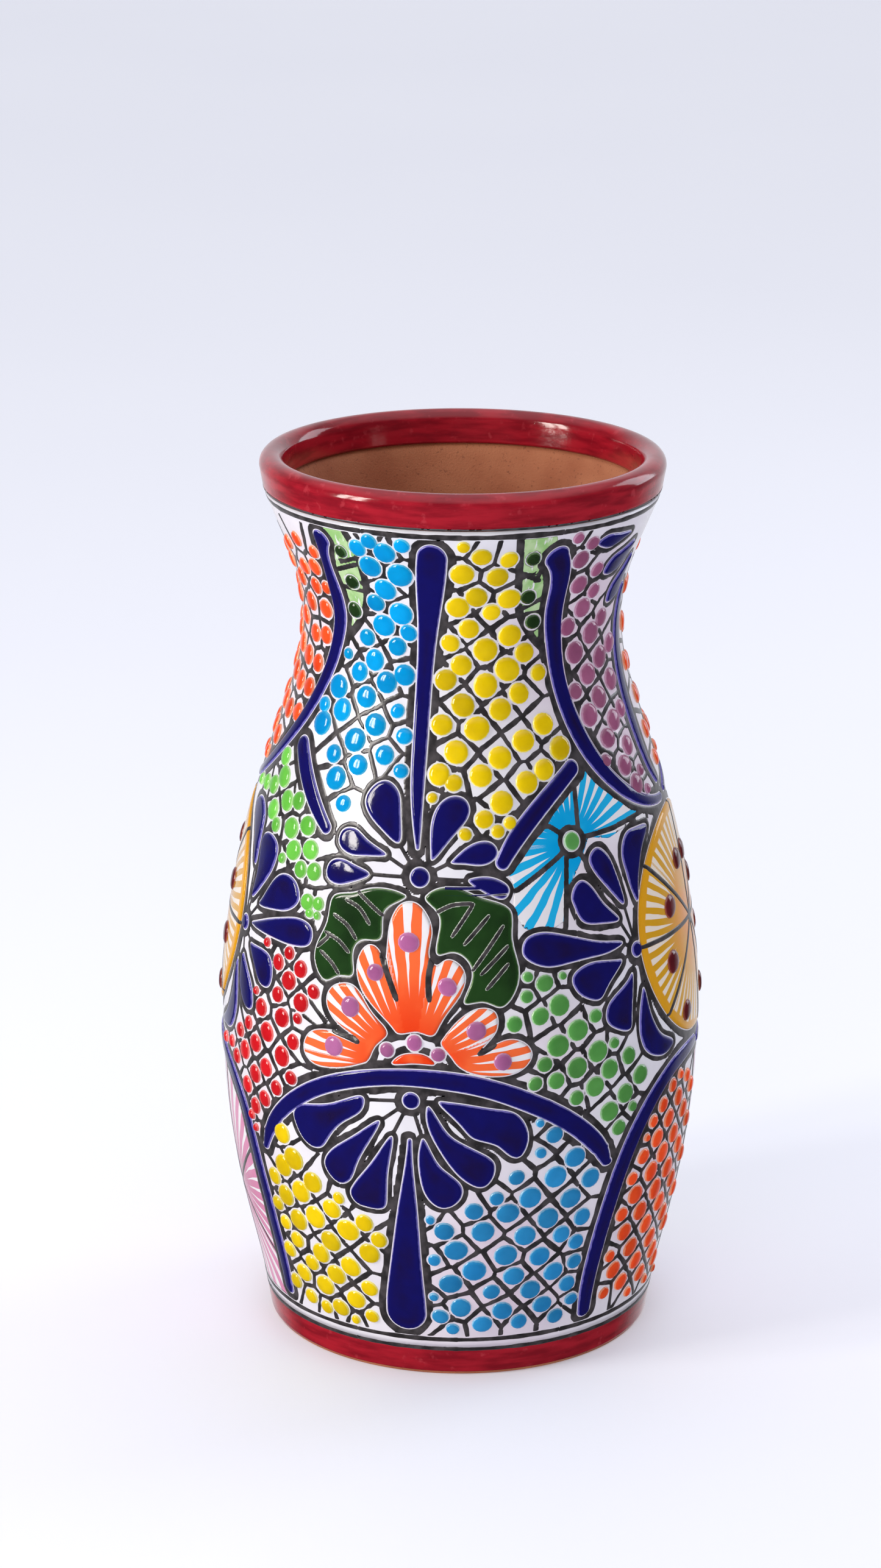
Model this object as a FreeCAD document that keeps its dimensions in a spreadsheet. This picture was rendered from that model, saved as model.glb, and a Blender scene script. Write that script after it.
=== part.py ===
import FreeCAD, Part
import math
import os

import Sketcher
from FreeCAD import Vector

# A hand-painted pottery vase: a thrown clay body, a thin coat of white glaze, and thick
# coloured glaze that stands proud of it as pads and beads.  Millimetres, +Z up, origin at
# the centre of the foot, front towards -Y.  Places on the wall are (angle, level): degrees
# round the axis from the front, rising towards +X, and height above the table.

doc = FreeCAD.newDocument("TalaveraVase")

# ---------------------------------------------------------------- driving dimensions

WALL_RADII = [66.7, 68.1, 73.3, 78.8, 81.2, 80.9, 77.2, 71.1, 62.6, 51.8, 52.5, 62.6, 65.8]

DIMENSIONS = [
    ("wall_thickness", 7.0, "thrown clay wall, measured level"),
    ("wall_foot_level", 10.0, "where the wall stands on the foot ring"),
    ("wall_mouth_level", 294.0, "where the wall meets the rolled rim"),
    ("wall_joint_level", 246.0, "where the neck section is luted to the belly section"),
    ("coat_thickness", 0.6, "white glaze, and the red glaze of rim and foot"),
    ("pad_thickness", 0.8, "raised glaze pads above the white glaze"),
    ("bead_height", 1.6, "crown of a full glaze bead above the white glaze"),
    ("full_bead_radius", 2.8, "beads smaller than this are lower in proportion"),
    ("lip_outer_radius", 67.0, "widest clay radius of the rim"),
    ("lip_inner_radius", 59.8, "narrowest clay radius of the rim"),
    ("lip_centre_level", 300.8, "centre of the round that crowns the rim"),
    ("foot_outer_radius", 65.3, "clay radius at the table"),
    ("foot_inner_radius", 50.0, "recess under the foot"),
    ("foot_ledge_radius", 57.0, "ledge that the floor disc sits on"),
    ("foot_recess_height", 4.0, "depth of the recess under the floor"),
    ("foot_edge_round", 0.8, "wear on the bottom edges of the foot"),
    ("foot_bare_height", 1.2, "unglazed clay left above the table"),
]

sheet = doc.addObject("Spreadsheet::Sheet", "Sheet")


def put_in_sheet(row, alias, value, meaning):
    sheet.set("A%d" % row, meaning)
    sheet.set("B%d" % row, str(value))
    sheet.setAlias("B%d" % row, alias)


def pole_alias(index):
    return "wall_radius_%02d" % index


for row, (alias, value, meaning) in enumerate(DIMENSIONS, start=1):
    put_in_sheet(row, alias, value, meaning)
for index, radius in enumerate(WALL_RADII):
    put_in_sheet(len(DIMENSIONS) + 1 + index, pole_alias(index), radius, "wall curve pole, foot to mouth")
doc.recompute()

wall_foot = sheet.wall_foot_level
wall_mouth = sheet.wall_mouth_level
coat_thickness = sheet.coat_thickness
pad_thickness = sheet.pad_thickness
bead_height = sheet.bead_height
pole_radii = [sheet.get(pole_alias(i)) for i in range(len(WALL_RADII))]

# The wall curve is a cubic spline whose poles climb evenly, so that its parameter is the
# share of the way up from the foot ring to the rim.
DEGREE = 3
SPANS = len(WALL_RADII) - DEGREE


def pole_share(index):
    knots = [min(max((index + step - DEGREE) / SPANS, 0.0), 1.0) for step in (1, 2, 3)]
    return sum(knots) / DEGREE


def pole_level(index):
    return wall_foot + (wall_mouth - wall_foot) * pole_share(index)


def wall_curve(shift, upright):
    """The wall's outer curve moved out by shift; upright puts the level on Z, otherwise on Y."""
    poles = []
    for index, radius in enumerate(pole_radii):
        level = pole_level(index)
        poles.append(Vector(radius + shift, 0, level) if upright else Vector(radius + shift, level, 0))
    return Part.BSplineCurve(poles, None, None, False, DEGREE, None, False)


coat_curve = wall_curve(coat_thickness, upright=True)


def coat_radius(level):
    """Radius of the white glaze's face at a level."""
    return coat_curve.value((level - wall_foot) / (wall_mouth - wall_foot)).x


# ---------------------------------------------------------------- turned clay and glaze


def new_profile(label):
    """A body with an empty sketch in the XZ plane, ready for half a section."""
    body = doc.addObject("PartDesign::Body", label)
    body.Label = label
    sketch = body.newObject("Sketcher::SketchObject", label + "_section")
    plane = [part for part in body.Origin.OriginFeatures if part.Role == "XZ_Plane"][0]
    sketch.AttachmentSupport = (plane, [""])
    sketch.MapMode = "FlatFace"
    return body, sketch


def turn(body, sketch):
    """Spins the section once round the vase's axis."""
    doc.recompute()
    feature = body.newObject("PartDesign::Revolution", body.Label + "_turned")
    feature.Profile = sketch
    feature.ReferenceAxis = (sketch, ["V_Axis"])
    feature.Angle = 360
    body.Placement = FreeCAD.Placement()
    doc.recompute()
    return body


def bind_point(sketch, geometry, end, radius, level):
    """Ties a point of the sketch to two expressions of the sheet."""
    where = sketch.getPoint(geometry, end)
    for kind, value, expression in (("DistanceX", where.x, radius), ("DistanceY", where.y, level)):
        number = sketch.addConstraint(Sketcher.Constraint(kind, -1, 1, geometry, end, value))
        sketch.setExpression("Constraints[%d]" % number, expression)


def wall_layer(label, inner, outer):
    """A turned layer that follows the wall; inner and outer are shifts from the clay's face."""
    body, sketch = new_profile(label)
    sides = []
    for shift, expression in (inner, outer):
        side = sketch.addGeometry(wall_curve(shift, upright=False), False)
        sketch.exposeInternalGeometry(side)
        for index in range(len(pole_radii)):
            pole = side + 1 + index
            share = "%.6f" % pole_share(index)
            level = "Sheet.wall_foot_level + (Sheet.wall_mouth_level - Sheet.wall_foot_level) * " + share
            bind_point(sketch, pole, 3, "Sheet.%s + %s" % (pole_alias(index), expression), level)
        sides.append(side)
    for end in (1, 2):
        start_point = sketch.getPoint(sides[0], end)
        end_point = sketch.getPoint(sides[1], end)
        closing = sketch.addGeometry(Part.LineSegment(start_point, end_point), False)
        sketch.addConstraint(Sketcher.Constraint("Coincident", closing, 1, sides[0], end))
        sketch.addConstraint(Sketcher.Constraint("Coincident", closing, 2, sides[1], end))
    return turn(body, sketch)


def wall_sections(whole):
    """The wall is thrown as two sections, luted together at the waist of the neck."""
    below_joint = doc.addObject("Part::Cylinder", "below_joint")
    below_joint.setExpression("Radius", "Sheet.lip_outer_radius * 2")
    below_joint.setExpression("Height", "Sheet.wall_joint_level")
    sections = []
    for kind, label in (("Part::Common", "clay_belly_wall"), ("Part::Cut", "clay_neck_wall")):
        section = doc.addObject(kind, label)
        section.Label = label
        section.Base = whole
        section.Tool = below_joint
        sections.append(section)
    doc.recompute()
    return sections


def polygon_layer(label, corners):
    """A turned piece whose section is a polygon; corners are (value, value, expression, expression)."""
    body, sketch = new_profile(label)
    points = [Vector(radius, level, 0) for radius, level, _, _ in corners]
    lines = []
    for start_point, end_point in zip(points, points[1:] + points[:1]):
        lines.append(sketch.addGeometry(Part.LineSegment(start_point, end_point), False))
    for line, following in zip(lines, lines[1:] + lines[:1]):
        sketch.addConstraint(Sketcher.Constraint("Coincident", line, 2, following, 1))
    for line, (_, _, radius, level) in zip(lines, corners):
        bind_point(sketch, line, 1, radius, level)
    return turn(body, sketch)


def add_lip_path(sketch, grow, expression):
    """Outside line, round top and inside line of the rim, grown by a thickness; returns them."""
    outer_foot = Vector(pole_radii[-1] + grow, wall_mouth, 0)
    outer_top = Vector(sheet.lip_outer_radius + grow, sheet.lip_centre_level, 0)
    inner_top = Vector(sheet.lip_inner_radius - grow, sheet.lip_centre_level, 0)
    inner_foot = Vector(pole_radii[-1] - sheet.wall_thickness - grow, wall_mouth, 0)
    crown = Vector((outer_top.x + inner_top.x) / 2, outer_top.y + (outer_top.x - inner_top.x) / 2, 0)
    outside = sketch.addGeometry(Part.LineSegment(outer_foot, outer_top), False)
    top = sketch.addGeometry(Part.Arc(outer_top, crown, inner_top), False)
    inside = sketch.addGeometry(Part.LineSegment(inner_top, inner_foot), False)
    sketch.addConstraint(Sketcher.Constraint("Coincident", outside, 2, top, 1))
    sketch.addConstraint(Sketcher.Constraint("Coincident", top, 2, inside, 1))
    mouth = "Sheet." + pole_alias(len(pole_radii) - 1)
    bind_point(sketch, outside, 1, mouth + " + " + expression, "Sheet.wall_mouth_level")
    bind_point(sketch, outside, 2, "Sheet.lip_outer_radius + " + expression, "Sheet.lip_centre_level")
    bind_point(sketch, inside, 1, "Sheet.lip_inner_radius - " + expression, "Sheet.lip_centre_level")
    inner = mouth + " - Sheet.wall_thickness - " + expression
    bind_point(sketch, inside, 2, inner, "Sheet.wall_mouth_level")
    centre = sketch.addConstraint(Sketcher.Constraint("DistanceY", -1, 1, top, 3, sheet.lip_centre_level))
    sketch.setExpression("Constraints[%d]" % centre, "Sheet.lip_centre_level")
    return outside, inside


def rim_roll():
    """The rolled clay lip that ends the wall."""
    body, sketch = new_profile("rim_roll")
    outside, inside = add_lip_path(sketch, 0.0, "0")
    start_point = sketch.getPoint(inside, 2)
    end_point = sketch.getPoint(outside, 1)
    closing = sketch.addGeometry(Part.LineSegment(start_point, end_point), False)
    sketch.addConstraint(Sketcher.Constraint("Coincident", closing, 1, inside, 2))
    sketch.addConstraint(Sketcher.Constraint("Coincident", closing, 2, outside, 1))
    return turn(body, sketch)


def rim_band_glaze():
    """The crimson glaze that wraps the lip, outside, over the top and inside."""
    body, sketch = new_profile("rim_band_glaze")
    near_outside, near_inside = add_lip_path(sketch, 0.0, "0")
    far_outside, far_inside = add_lip_path(sketch, coat_thickness, "Sheet.coat_thickness")
    for near, far, end in ((near_outside, far_outside, 1), (near_inside, far_inside, 2)):
        start_point = sketch.getPoint(near, end)
        end_point = sketch.getPoint(far, end)
        closing = sketch.addGeometry(Part.LineSegment(start_point, end_point), False)
        sketch.addConstraint(Sketcher.Constraint("Coincident", closing, 1, near, end))
        sketch.addConstraint(Sketcher.Constraint("Coincident", closing, 2, far, end))
    return turn(body, sketch)


def foot_ring():
    """The turned ring that the vase stands on, with a ledge for the floor and worn bottom edges."""
    outer = sheet.foot_outer_radius
    inner = sheet.foot_inner_radius
    ledge = sheet.foot_ledge_radius
    recess = sheet.foot_recess_height
    edge = sheet.foot_edge_round
    heel = "Sheet." + pole_alias(0)
    corners = [
        (inner + edge, 0.0, "Sheet.foot_inner_radius + Sheet.foot_edge_round", "0"),
        (outer - edge, 0.0, "Sheet.foot_outer_radius - Sheet.foot_edge_round", "0"),
        (outer, edge, "Sheet.foot_outer_radius", "Sheet.foot_edge_round"),
        (pole_radii[0], wall_foot, heel, "Sheet.wall_foot_level"),
        (ledge, wall_foot, "Sheet.foot_ledge_radius", "Sheet.wall_foot_level"),
        (ledge, recess, "Sheet.foot_ledge_radius", "Sheet.foot_recess_height"),
        (inner, recess, "Sheet.foot_inner_radius", "Sheet.foot_recess_height"),
        (inner, edge, "Sheet.foot_inner_radius", "Sheet.foot_edge_round"),
    ]
    return polygon_layer("foot_ring", corners)


def foot_band_glaze():
    """The crimson band round the foot, stopping short of the table."""
    bare = sheet.foot_bare_height
    edge = sheet.foot_edge_round
    outer = sheet.foot_outer_radius
    lean = (pole_radii[0] - outer) * (bare - edge) / (wall_foot - edge)
    heel = "Sheet." + pole_alias(0)
    slope = "(%s - Sheet.foot_outer_radius) / (Sheet.wall_foot_level - Sheet.foot_edge_round)" % heel
    start = "Sheet.foot_outer_radius + %s * (Sheet.foot_bare_height - Sheet.foot_edge_round)" % slope
    skin = " + Sheet.coat_thickness"
    corners = [
        (outer + lean, bare, start, "Sheet.foot_bare_height"),
        (outer + lean + coat_thickness, bare, start + skin, "Sheet.foot_bare_height"),
        (pole_radii[0] + coat_thickness, wall_foot, heel + skin, "Sheet.wall_foot_level"),
        (pole_radii[0], wall_foot, heel, "Sheet.wall_foot_level"),
    ]
    return polygon_layer("foot_band_glaze", corners)


def clay_floor():
    """The disc that closes the bottom, seated on the foot ring's ledge."""
    disc = doc.addObject("Part::Cylinder", "clay_floor")
    disc.Label = "clay_floor"
    disc.setExpression("Radius", "Sheet.foot_ledge_radius")
    disc.setExpression("Height", "Sheet.wall_foot_level - Sheet.foot_recess_height")
    disc.setExpression("Placement.Base.z", "Sheet.foot_recess_height")
    doc.recompute()
    return disc


# ---------------------------------------------------------------- raised glaze

# The painted story covers half the wall, from the middle of one side medallion to the
# middle of the other, and is painted twice.  Outlines are closed smooth curves through
# their points; strokes are (angle, level, half width in millimetres) along the middle.
TURNS = (0.0, 180.0)

STROKES = {
    "upper_stems": [
        [(-9.0, 283.2, 4.9), (-10.2, 273, 4.6), (-11.4, 262, 3.6), (-12.5, 250, 2.8), (-13.2, 235, 2.5),
         (-13.2, 220, 2.4), (-12.9, 206, 2.1), (-12.3, 196, 1.4), (-11.7, 188, 0.5)],
    ],
    "slanted_bars": [
        [(-58.2, 212.2, 3.1), (-50, 201.3, 3.0), (-40, 190.0, 2.0)],
        [(35.4, 210.3, 2.6), (24, 200.9, 2.8), (15.5, 191.3, 2.8), (11.0, 183.6, 2.2)],
    ],
    "shoulder_ribs": [
        [(-46.2, 284.6, 3.4), (-47.8, 276.5, 2.2), (-47.6, 267, 2.9), (-47.1, 259, 3.0), (-49, 250, 2.7),
         (-52.6, 240, 2.6), (-57.4, 229.5, 2.5), (-63, 219.5, 2.4), (-70, 210, 2.2), (-78, 201.8, 2.0),
         (-88, 194.8, 1.8), (-97.5, 191, 1.5)],
        [(29.6, 281.3, 4.2), (32.6, 274, 3.6), (32.8, 263, 3.4), (33.9, 250, 3.0), (35.6, 237.5, 2.8),
         (38.8, 225, 3.0), (43.2, 214, 3.0), (49, 205, 2.7), (56.5, 197.6, 2.4), (65, 192.6, 1.9),
         (76.5, 189.9, 1.4)],
    ],
    "side_ribs": [
        [(74, 262, 2.2), (72.8, 247, 2.8), (71.8, 230, 2.8), (71.6, 214, 2.6), (73.6, 202, 2.0),
         (76.6, 196, 1.3)],
    ],
    "arch_bands": [
        [(-54.9, 75.6, 1.4), (-52.6, 82.5, 2.4), (-48.2, 90.5, 2.7), (-42, 98.2, 2.8), (-34, 105.2, 2.8),
         (-24, 110.3, 2.8), (-13, 112.7, 2.8), (-4, 112.4, 3.1), (6, 109.8, 3.2), (16, 104.1, 3.3),
         (24.5, 97.3, 3.3), (31, 90.1, 3.3), (35.8, 82.9, 3.0), (38.2, 77.2, 1.8)],
    ],
    "lower_stems": [
        [(-11.6, 90.6, 0.6), (-11.9, 81, 1.3), (-12.4, 68, 2.9), (-13.0, 55, 4.2), (-13.8, 40, 5.6),
         (-14.4, 28, 6.7), (-14.5, 24.2, 6.8)],
    ],
    "lower_ribs": [
        [(-98, 102.2, 1.8), (-88, 101.2, 2.4), (-79, 99, 2.6), (-71.5, 95, 2.7), (-65.6, 88.5, 2.7),
         (-61.8, 79, 2.7), (-59, 66, 2.7), (-57, 52, 2.7), (-56.2, 38, 2.7), (-56.6, 20, 2.4)],
        [(78, 103.4, 1.8), (69.5, 103.4, 2.7), (61, 101.2, 3.0), (53.4, 95, 3.2), (47.4, 85.6, 3.4),
         (43.2, 74.4, 3.4), (40, 60, 3.3), (38, 45, 3.2), (37.2, 30, 3.0), (37.6, 19.5, 2.6)],
    ],
}

OUTLINES = {
    "upper_fan_petals": [
        [(-28.4, 201), (-26.6, 205.6), (-22.4, 207.8), (-19.0, 205.6), (-17.2, 198), (-17.2, 189.2),
         (-21.6, 192.2), (-26.6, 197)],
        [(-35, 188), (-33.6, 191), (-30.6, 191.6), (-26, 188.6), (-20.4, 185), (-26, 183.9), (-31.6, 183.7),
         (-34.4, 185.6)],
        [(-37.4, 177), (-36, 180.4), (-33, 181.3), (-29, 180.2), (-24.6, 178.2), (-29.4, 174.8),
         (-33.8, 173.3), (-36.6, 174.4)],
        [(-7.9, 185), (-8.3, 193), (-7, 200.4), (-3, 204.3), (1, 203.6), (2.4, 200.2), (0, 195), (-4.6, 188.6)],
        [(-2.4, 184.2), (1, 188), (4.8, 190.2), (8.6, 189.6), (9.8, 186.8), (8, 184), (4, 183.1), (0, 183.6)],
        [(2.4, 178.6), (6.6, 179.2), (10.4, 177.8), (12.5, 174.8), (11.4, 172.4), (8.6, 172.9), (5.2, 175.2)],
    ],
    "lower_fan_petals": [
        [(-42.8, 91.4), (-41.2, 86.2), (-37.8, 82.4), (-34.8, 82.9), (-32.6, 86.6), (-27.6, 94.6),
         (-22.7, 101.8), (-22.8, 103.8), (-26.2, 103), (-32, 99.3), (-38, 97.2), (-41.6, 95)],
        [(-33.9, 77), (-32.6, 73.4), (-29.6, 71.2), (-27.3, 72.8), (-25.4, 78), (-22, 87.4), (-19, 96.4),
         (-23, 92.4), (-28.4, 86.6), (-32.6, 81.4)],
        [(-27, 67.4), (-25.6, 64.9), (-22, 63.9), (-18.4, 64.8), (-17.6, 69), (-16.9, 80), (-16, 91.4),
         (-19.2, 85), (-23.2, 77), (-26.4, 71)],
        [(-8.8, 91), (-9.5, 86), (-9.2, 77), (-7.6, 70), (-4.2, 66.4), (-1, 67.8), (0.8, 73.4),
         (-2.8, 79.4), (-6.6, 86.6)],
        [(-7.6, 102.4), (-7.6, 98), (-5, 88.6), (-1, 80), (2.4, 75.6), (5.6, 74.2), (7.9, 77.4), (8.1, 83),
         (5.2, 86.5), (0, 90.6), (-4.4, 97)],
        [(-4.2, 105), (1.5, 104), (8, 102.2), (13.2, 100), (15.8, 94.8), (16, 88.6), (13.8, 84.4),
         (11.4, 85.9), (9, 89), (3.4, 92), (-0.8, 98.4)],
    ],
    "side_fan_petals": [
        [(15.2, 155.4), (16.6, 159), (20, 160.2), (25, 159), (32, 156), (39, 153.4), (43.6, 151.6),
         (41, 150.4), (34, 149.7), (27, 149.2), (22, 148.9), (17.4, 151)],
        [(29.6, 168.4), (30.3, 172.8), (32.6, 174.8), (35.6, 172.4), (39.4, 165.4), (43.3, 159.6),
         (38, 159.8), (31.6, 162.4)],
        [(36.4, 179), (37, 182.8), (39.2, 184), (41.7, 182.2), (44.2, 175.4), (45.4, 164.2), (43, 167.4),
         (39.2, 173.4)],
        [(47.9, 176.4), (48.6, 182.4), (51, 185.6), (56, 186.3), (61.4, 185.2), (58, 181), (54.4, 175),
         (52.2, 168.6), (50.9, 163.4), (49.2, 168)],
        [(42.3, 146.4), (36.4, 147.6), (30.6, 147), (27.9, 144), (28.7, 139.8), (31.8, 136.3), (35, 135.2),
         (38, 139.4)],
        [(45.4, 140.2), (41, 136), (37.2, 131.4), (36.9, 127.8), (40, 123.6), (44, 122.2), (44.9, 128)],
        [(49.2, 134), (47.7, 127), (47.5, 119), (49.6, 112.6), (54, 109), (59, 108.6), (61.4, 110.4),
         (56.8, 115), (53, 121), (50.8, 128.6)],
        [(-79, 188), (-73.4, 189.3), (-69.4, 186), (-68.2, 178), (-68.2, 169), (-71, 173.4), (-75.6, 181)],
        [(-65.8, 180.4), (-61, 181), (-57.6, 178.2), (-57.4, 174), (-60.6, 166), (-66.2, 158.8),
         (-65.7, 168)],
        [(-61.4, 158.8), (-57.8, 165.6), (-54, 170.5), (-50, 171.3), (-46.4, 168.8), (-45.4, 164.4),
         (-48.2, 160.8), (-54, 158.8)],
        [(-63.2, 151.2), (-56, 154.9), (-49, 157.7), (-42.4, 158.7), (-39.7, 156.8), (-39.7, 152.2),
         (-44, 149.9), (-54, 149.6)],
        [(-62.6, 144), (-57, 144.1), (-53.4, 142.8), (-51.8, 138), (-52.9, 132.9), (-55.6, 132.4),
         (-59.4, 137)],
        [(-66, 138.6), (-62.6, 134), (-59.4, 127), (-59.6, 122.7), (-62, 121.7), (-65.4, 125.6),
         (-67, 131)],
        [(-69.6, 135.4), (-68.3, 127), (-68.3, 118), (-71, 111.4), (-76, 108.7), (-81.2, 109.2),
         (-77, 113.4), (-73, 120), (-70.8, 128)],
    ],
    "neck_fan_petals": [
        [(44.8, 285.2), (48, 286.6), (54, 286), (61, 285), (55, 282.6), (48.6, 282)],
        [(52.8, 273.4), (54.6, 276.6), (60.6, 278.8), (68, 280.4), (64, 274.4), (58, 270.9)],
        [(60, 261.4), (61, 265.2), (65.6, 269.6), (71.4, 275), (71, 267), (66.6, 260.6)],
    ],
    "leaves": [
        [(-14.4, 172.9), (-19, 174.2), (-24.5, 173.4), (-29, 171.3), (-34.1, 169.2), (-35.1, 161.5),
         (-37.5, 153), (-37.5, 146.5), (-34, 141.6), (-30.3, 144), (-27, 144.8), (-27.1, 152),
         (-24.7, 157), (-20.2, 158), (-19.8, 164), (-17.9, 169.2)],
        [(-8.8, 173.1), (-5.5, 175.6), (-1, 175.8), (5, 172.8), (12.7, 168), (12.8, 160), (14.2, 150),
         (13.2, 142), (9.6, 137.1), (5.5, 139), (1.2, 138.6), (2.8, 146), (1.6, 153), (-2.5, 155.3),
         (-5.2, 154.4), (-5.1, 163), (-6.8, 169.4)],
    ],
    "coral_flowers": [
        [(-22.6, 116.3), (-27, 113.9), (-33, 112.2), (-37, 112.8), (-39.1, 115.6), (-39.1, 119.5),
         (-37.3, 123), (-33, 124.9), (-28, 124.9), (-24.8, 124.2), (-28.6, 127.1), (-31.8, 130.6),
         (-33.2, 134.6), (-32.4, 139), (-29.5, 141.5), (-26.5, 141.6), (-24, 138.8), (-20.6, 132.8),
         (-17.2, 127), (-20, 122.3)],
        [(-15.2, 128.3), (-19.4, 134), (-24.1, 141), (-25.6, 147), (-24.8, 153), (-22.7, 155.6),
         (-20.7, 154.8), (-18.6, 150.4), (-18, 158), (-17.1, 166), (-14.8, 170.1), (-11.6, 170.6),
         (-8.9, 167.8), (-7.1, 161), (-7, 152), (-5.6, 150.8), (-3.4, 152.6), (-0.9, 152),
         (1.1, 148.4), (0.5, 142.5), (-2.5, 136.2), (-4.9, 130.6), (-6.2, 127.8), (-10, 128.6)],
        [(-4.2, 126), (-1.8, 130.6), (1.6, 135), (5, 136.8), (8.2, 135.3), (8.8, 131.5), (7.2, 126.7),
         (4.9, 122.8), (8, 124.4), (12.5, 125.9), (15.7, 123.8), (16.9, 120.3), (15.4, 116.5),
         (11.5, 114), (7, 113.9), (2.2, 115.4), (-0.4, 117.6), (-2.6, 121.6)],
    ],
    "flower_hearts": [
        [(-15.6, 118), (-13.4, 120.4), (-10.4, 121.2), (-7.4, 120.4), (-5.8, 118.3), (-10.5, 117.8)],
    ],
}

# Round discs and beads: (angle, level, radius in millimetres).
DISCS = {
    "side_medallions": [(79.5, 147.4, 39.0)],
    "fan_hubs": [(-10.7, 178.8, 3.1), (-11.3, 104.8, 2.8), (48.4, 148, 2.5), (-67.9, 149.2, 2.6)],
    "turquoise_flower_eyes": [(31.4, 187.8, 3.1)],
}

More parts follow.
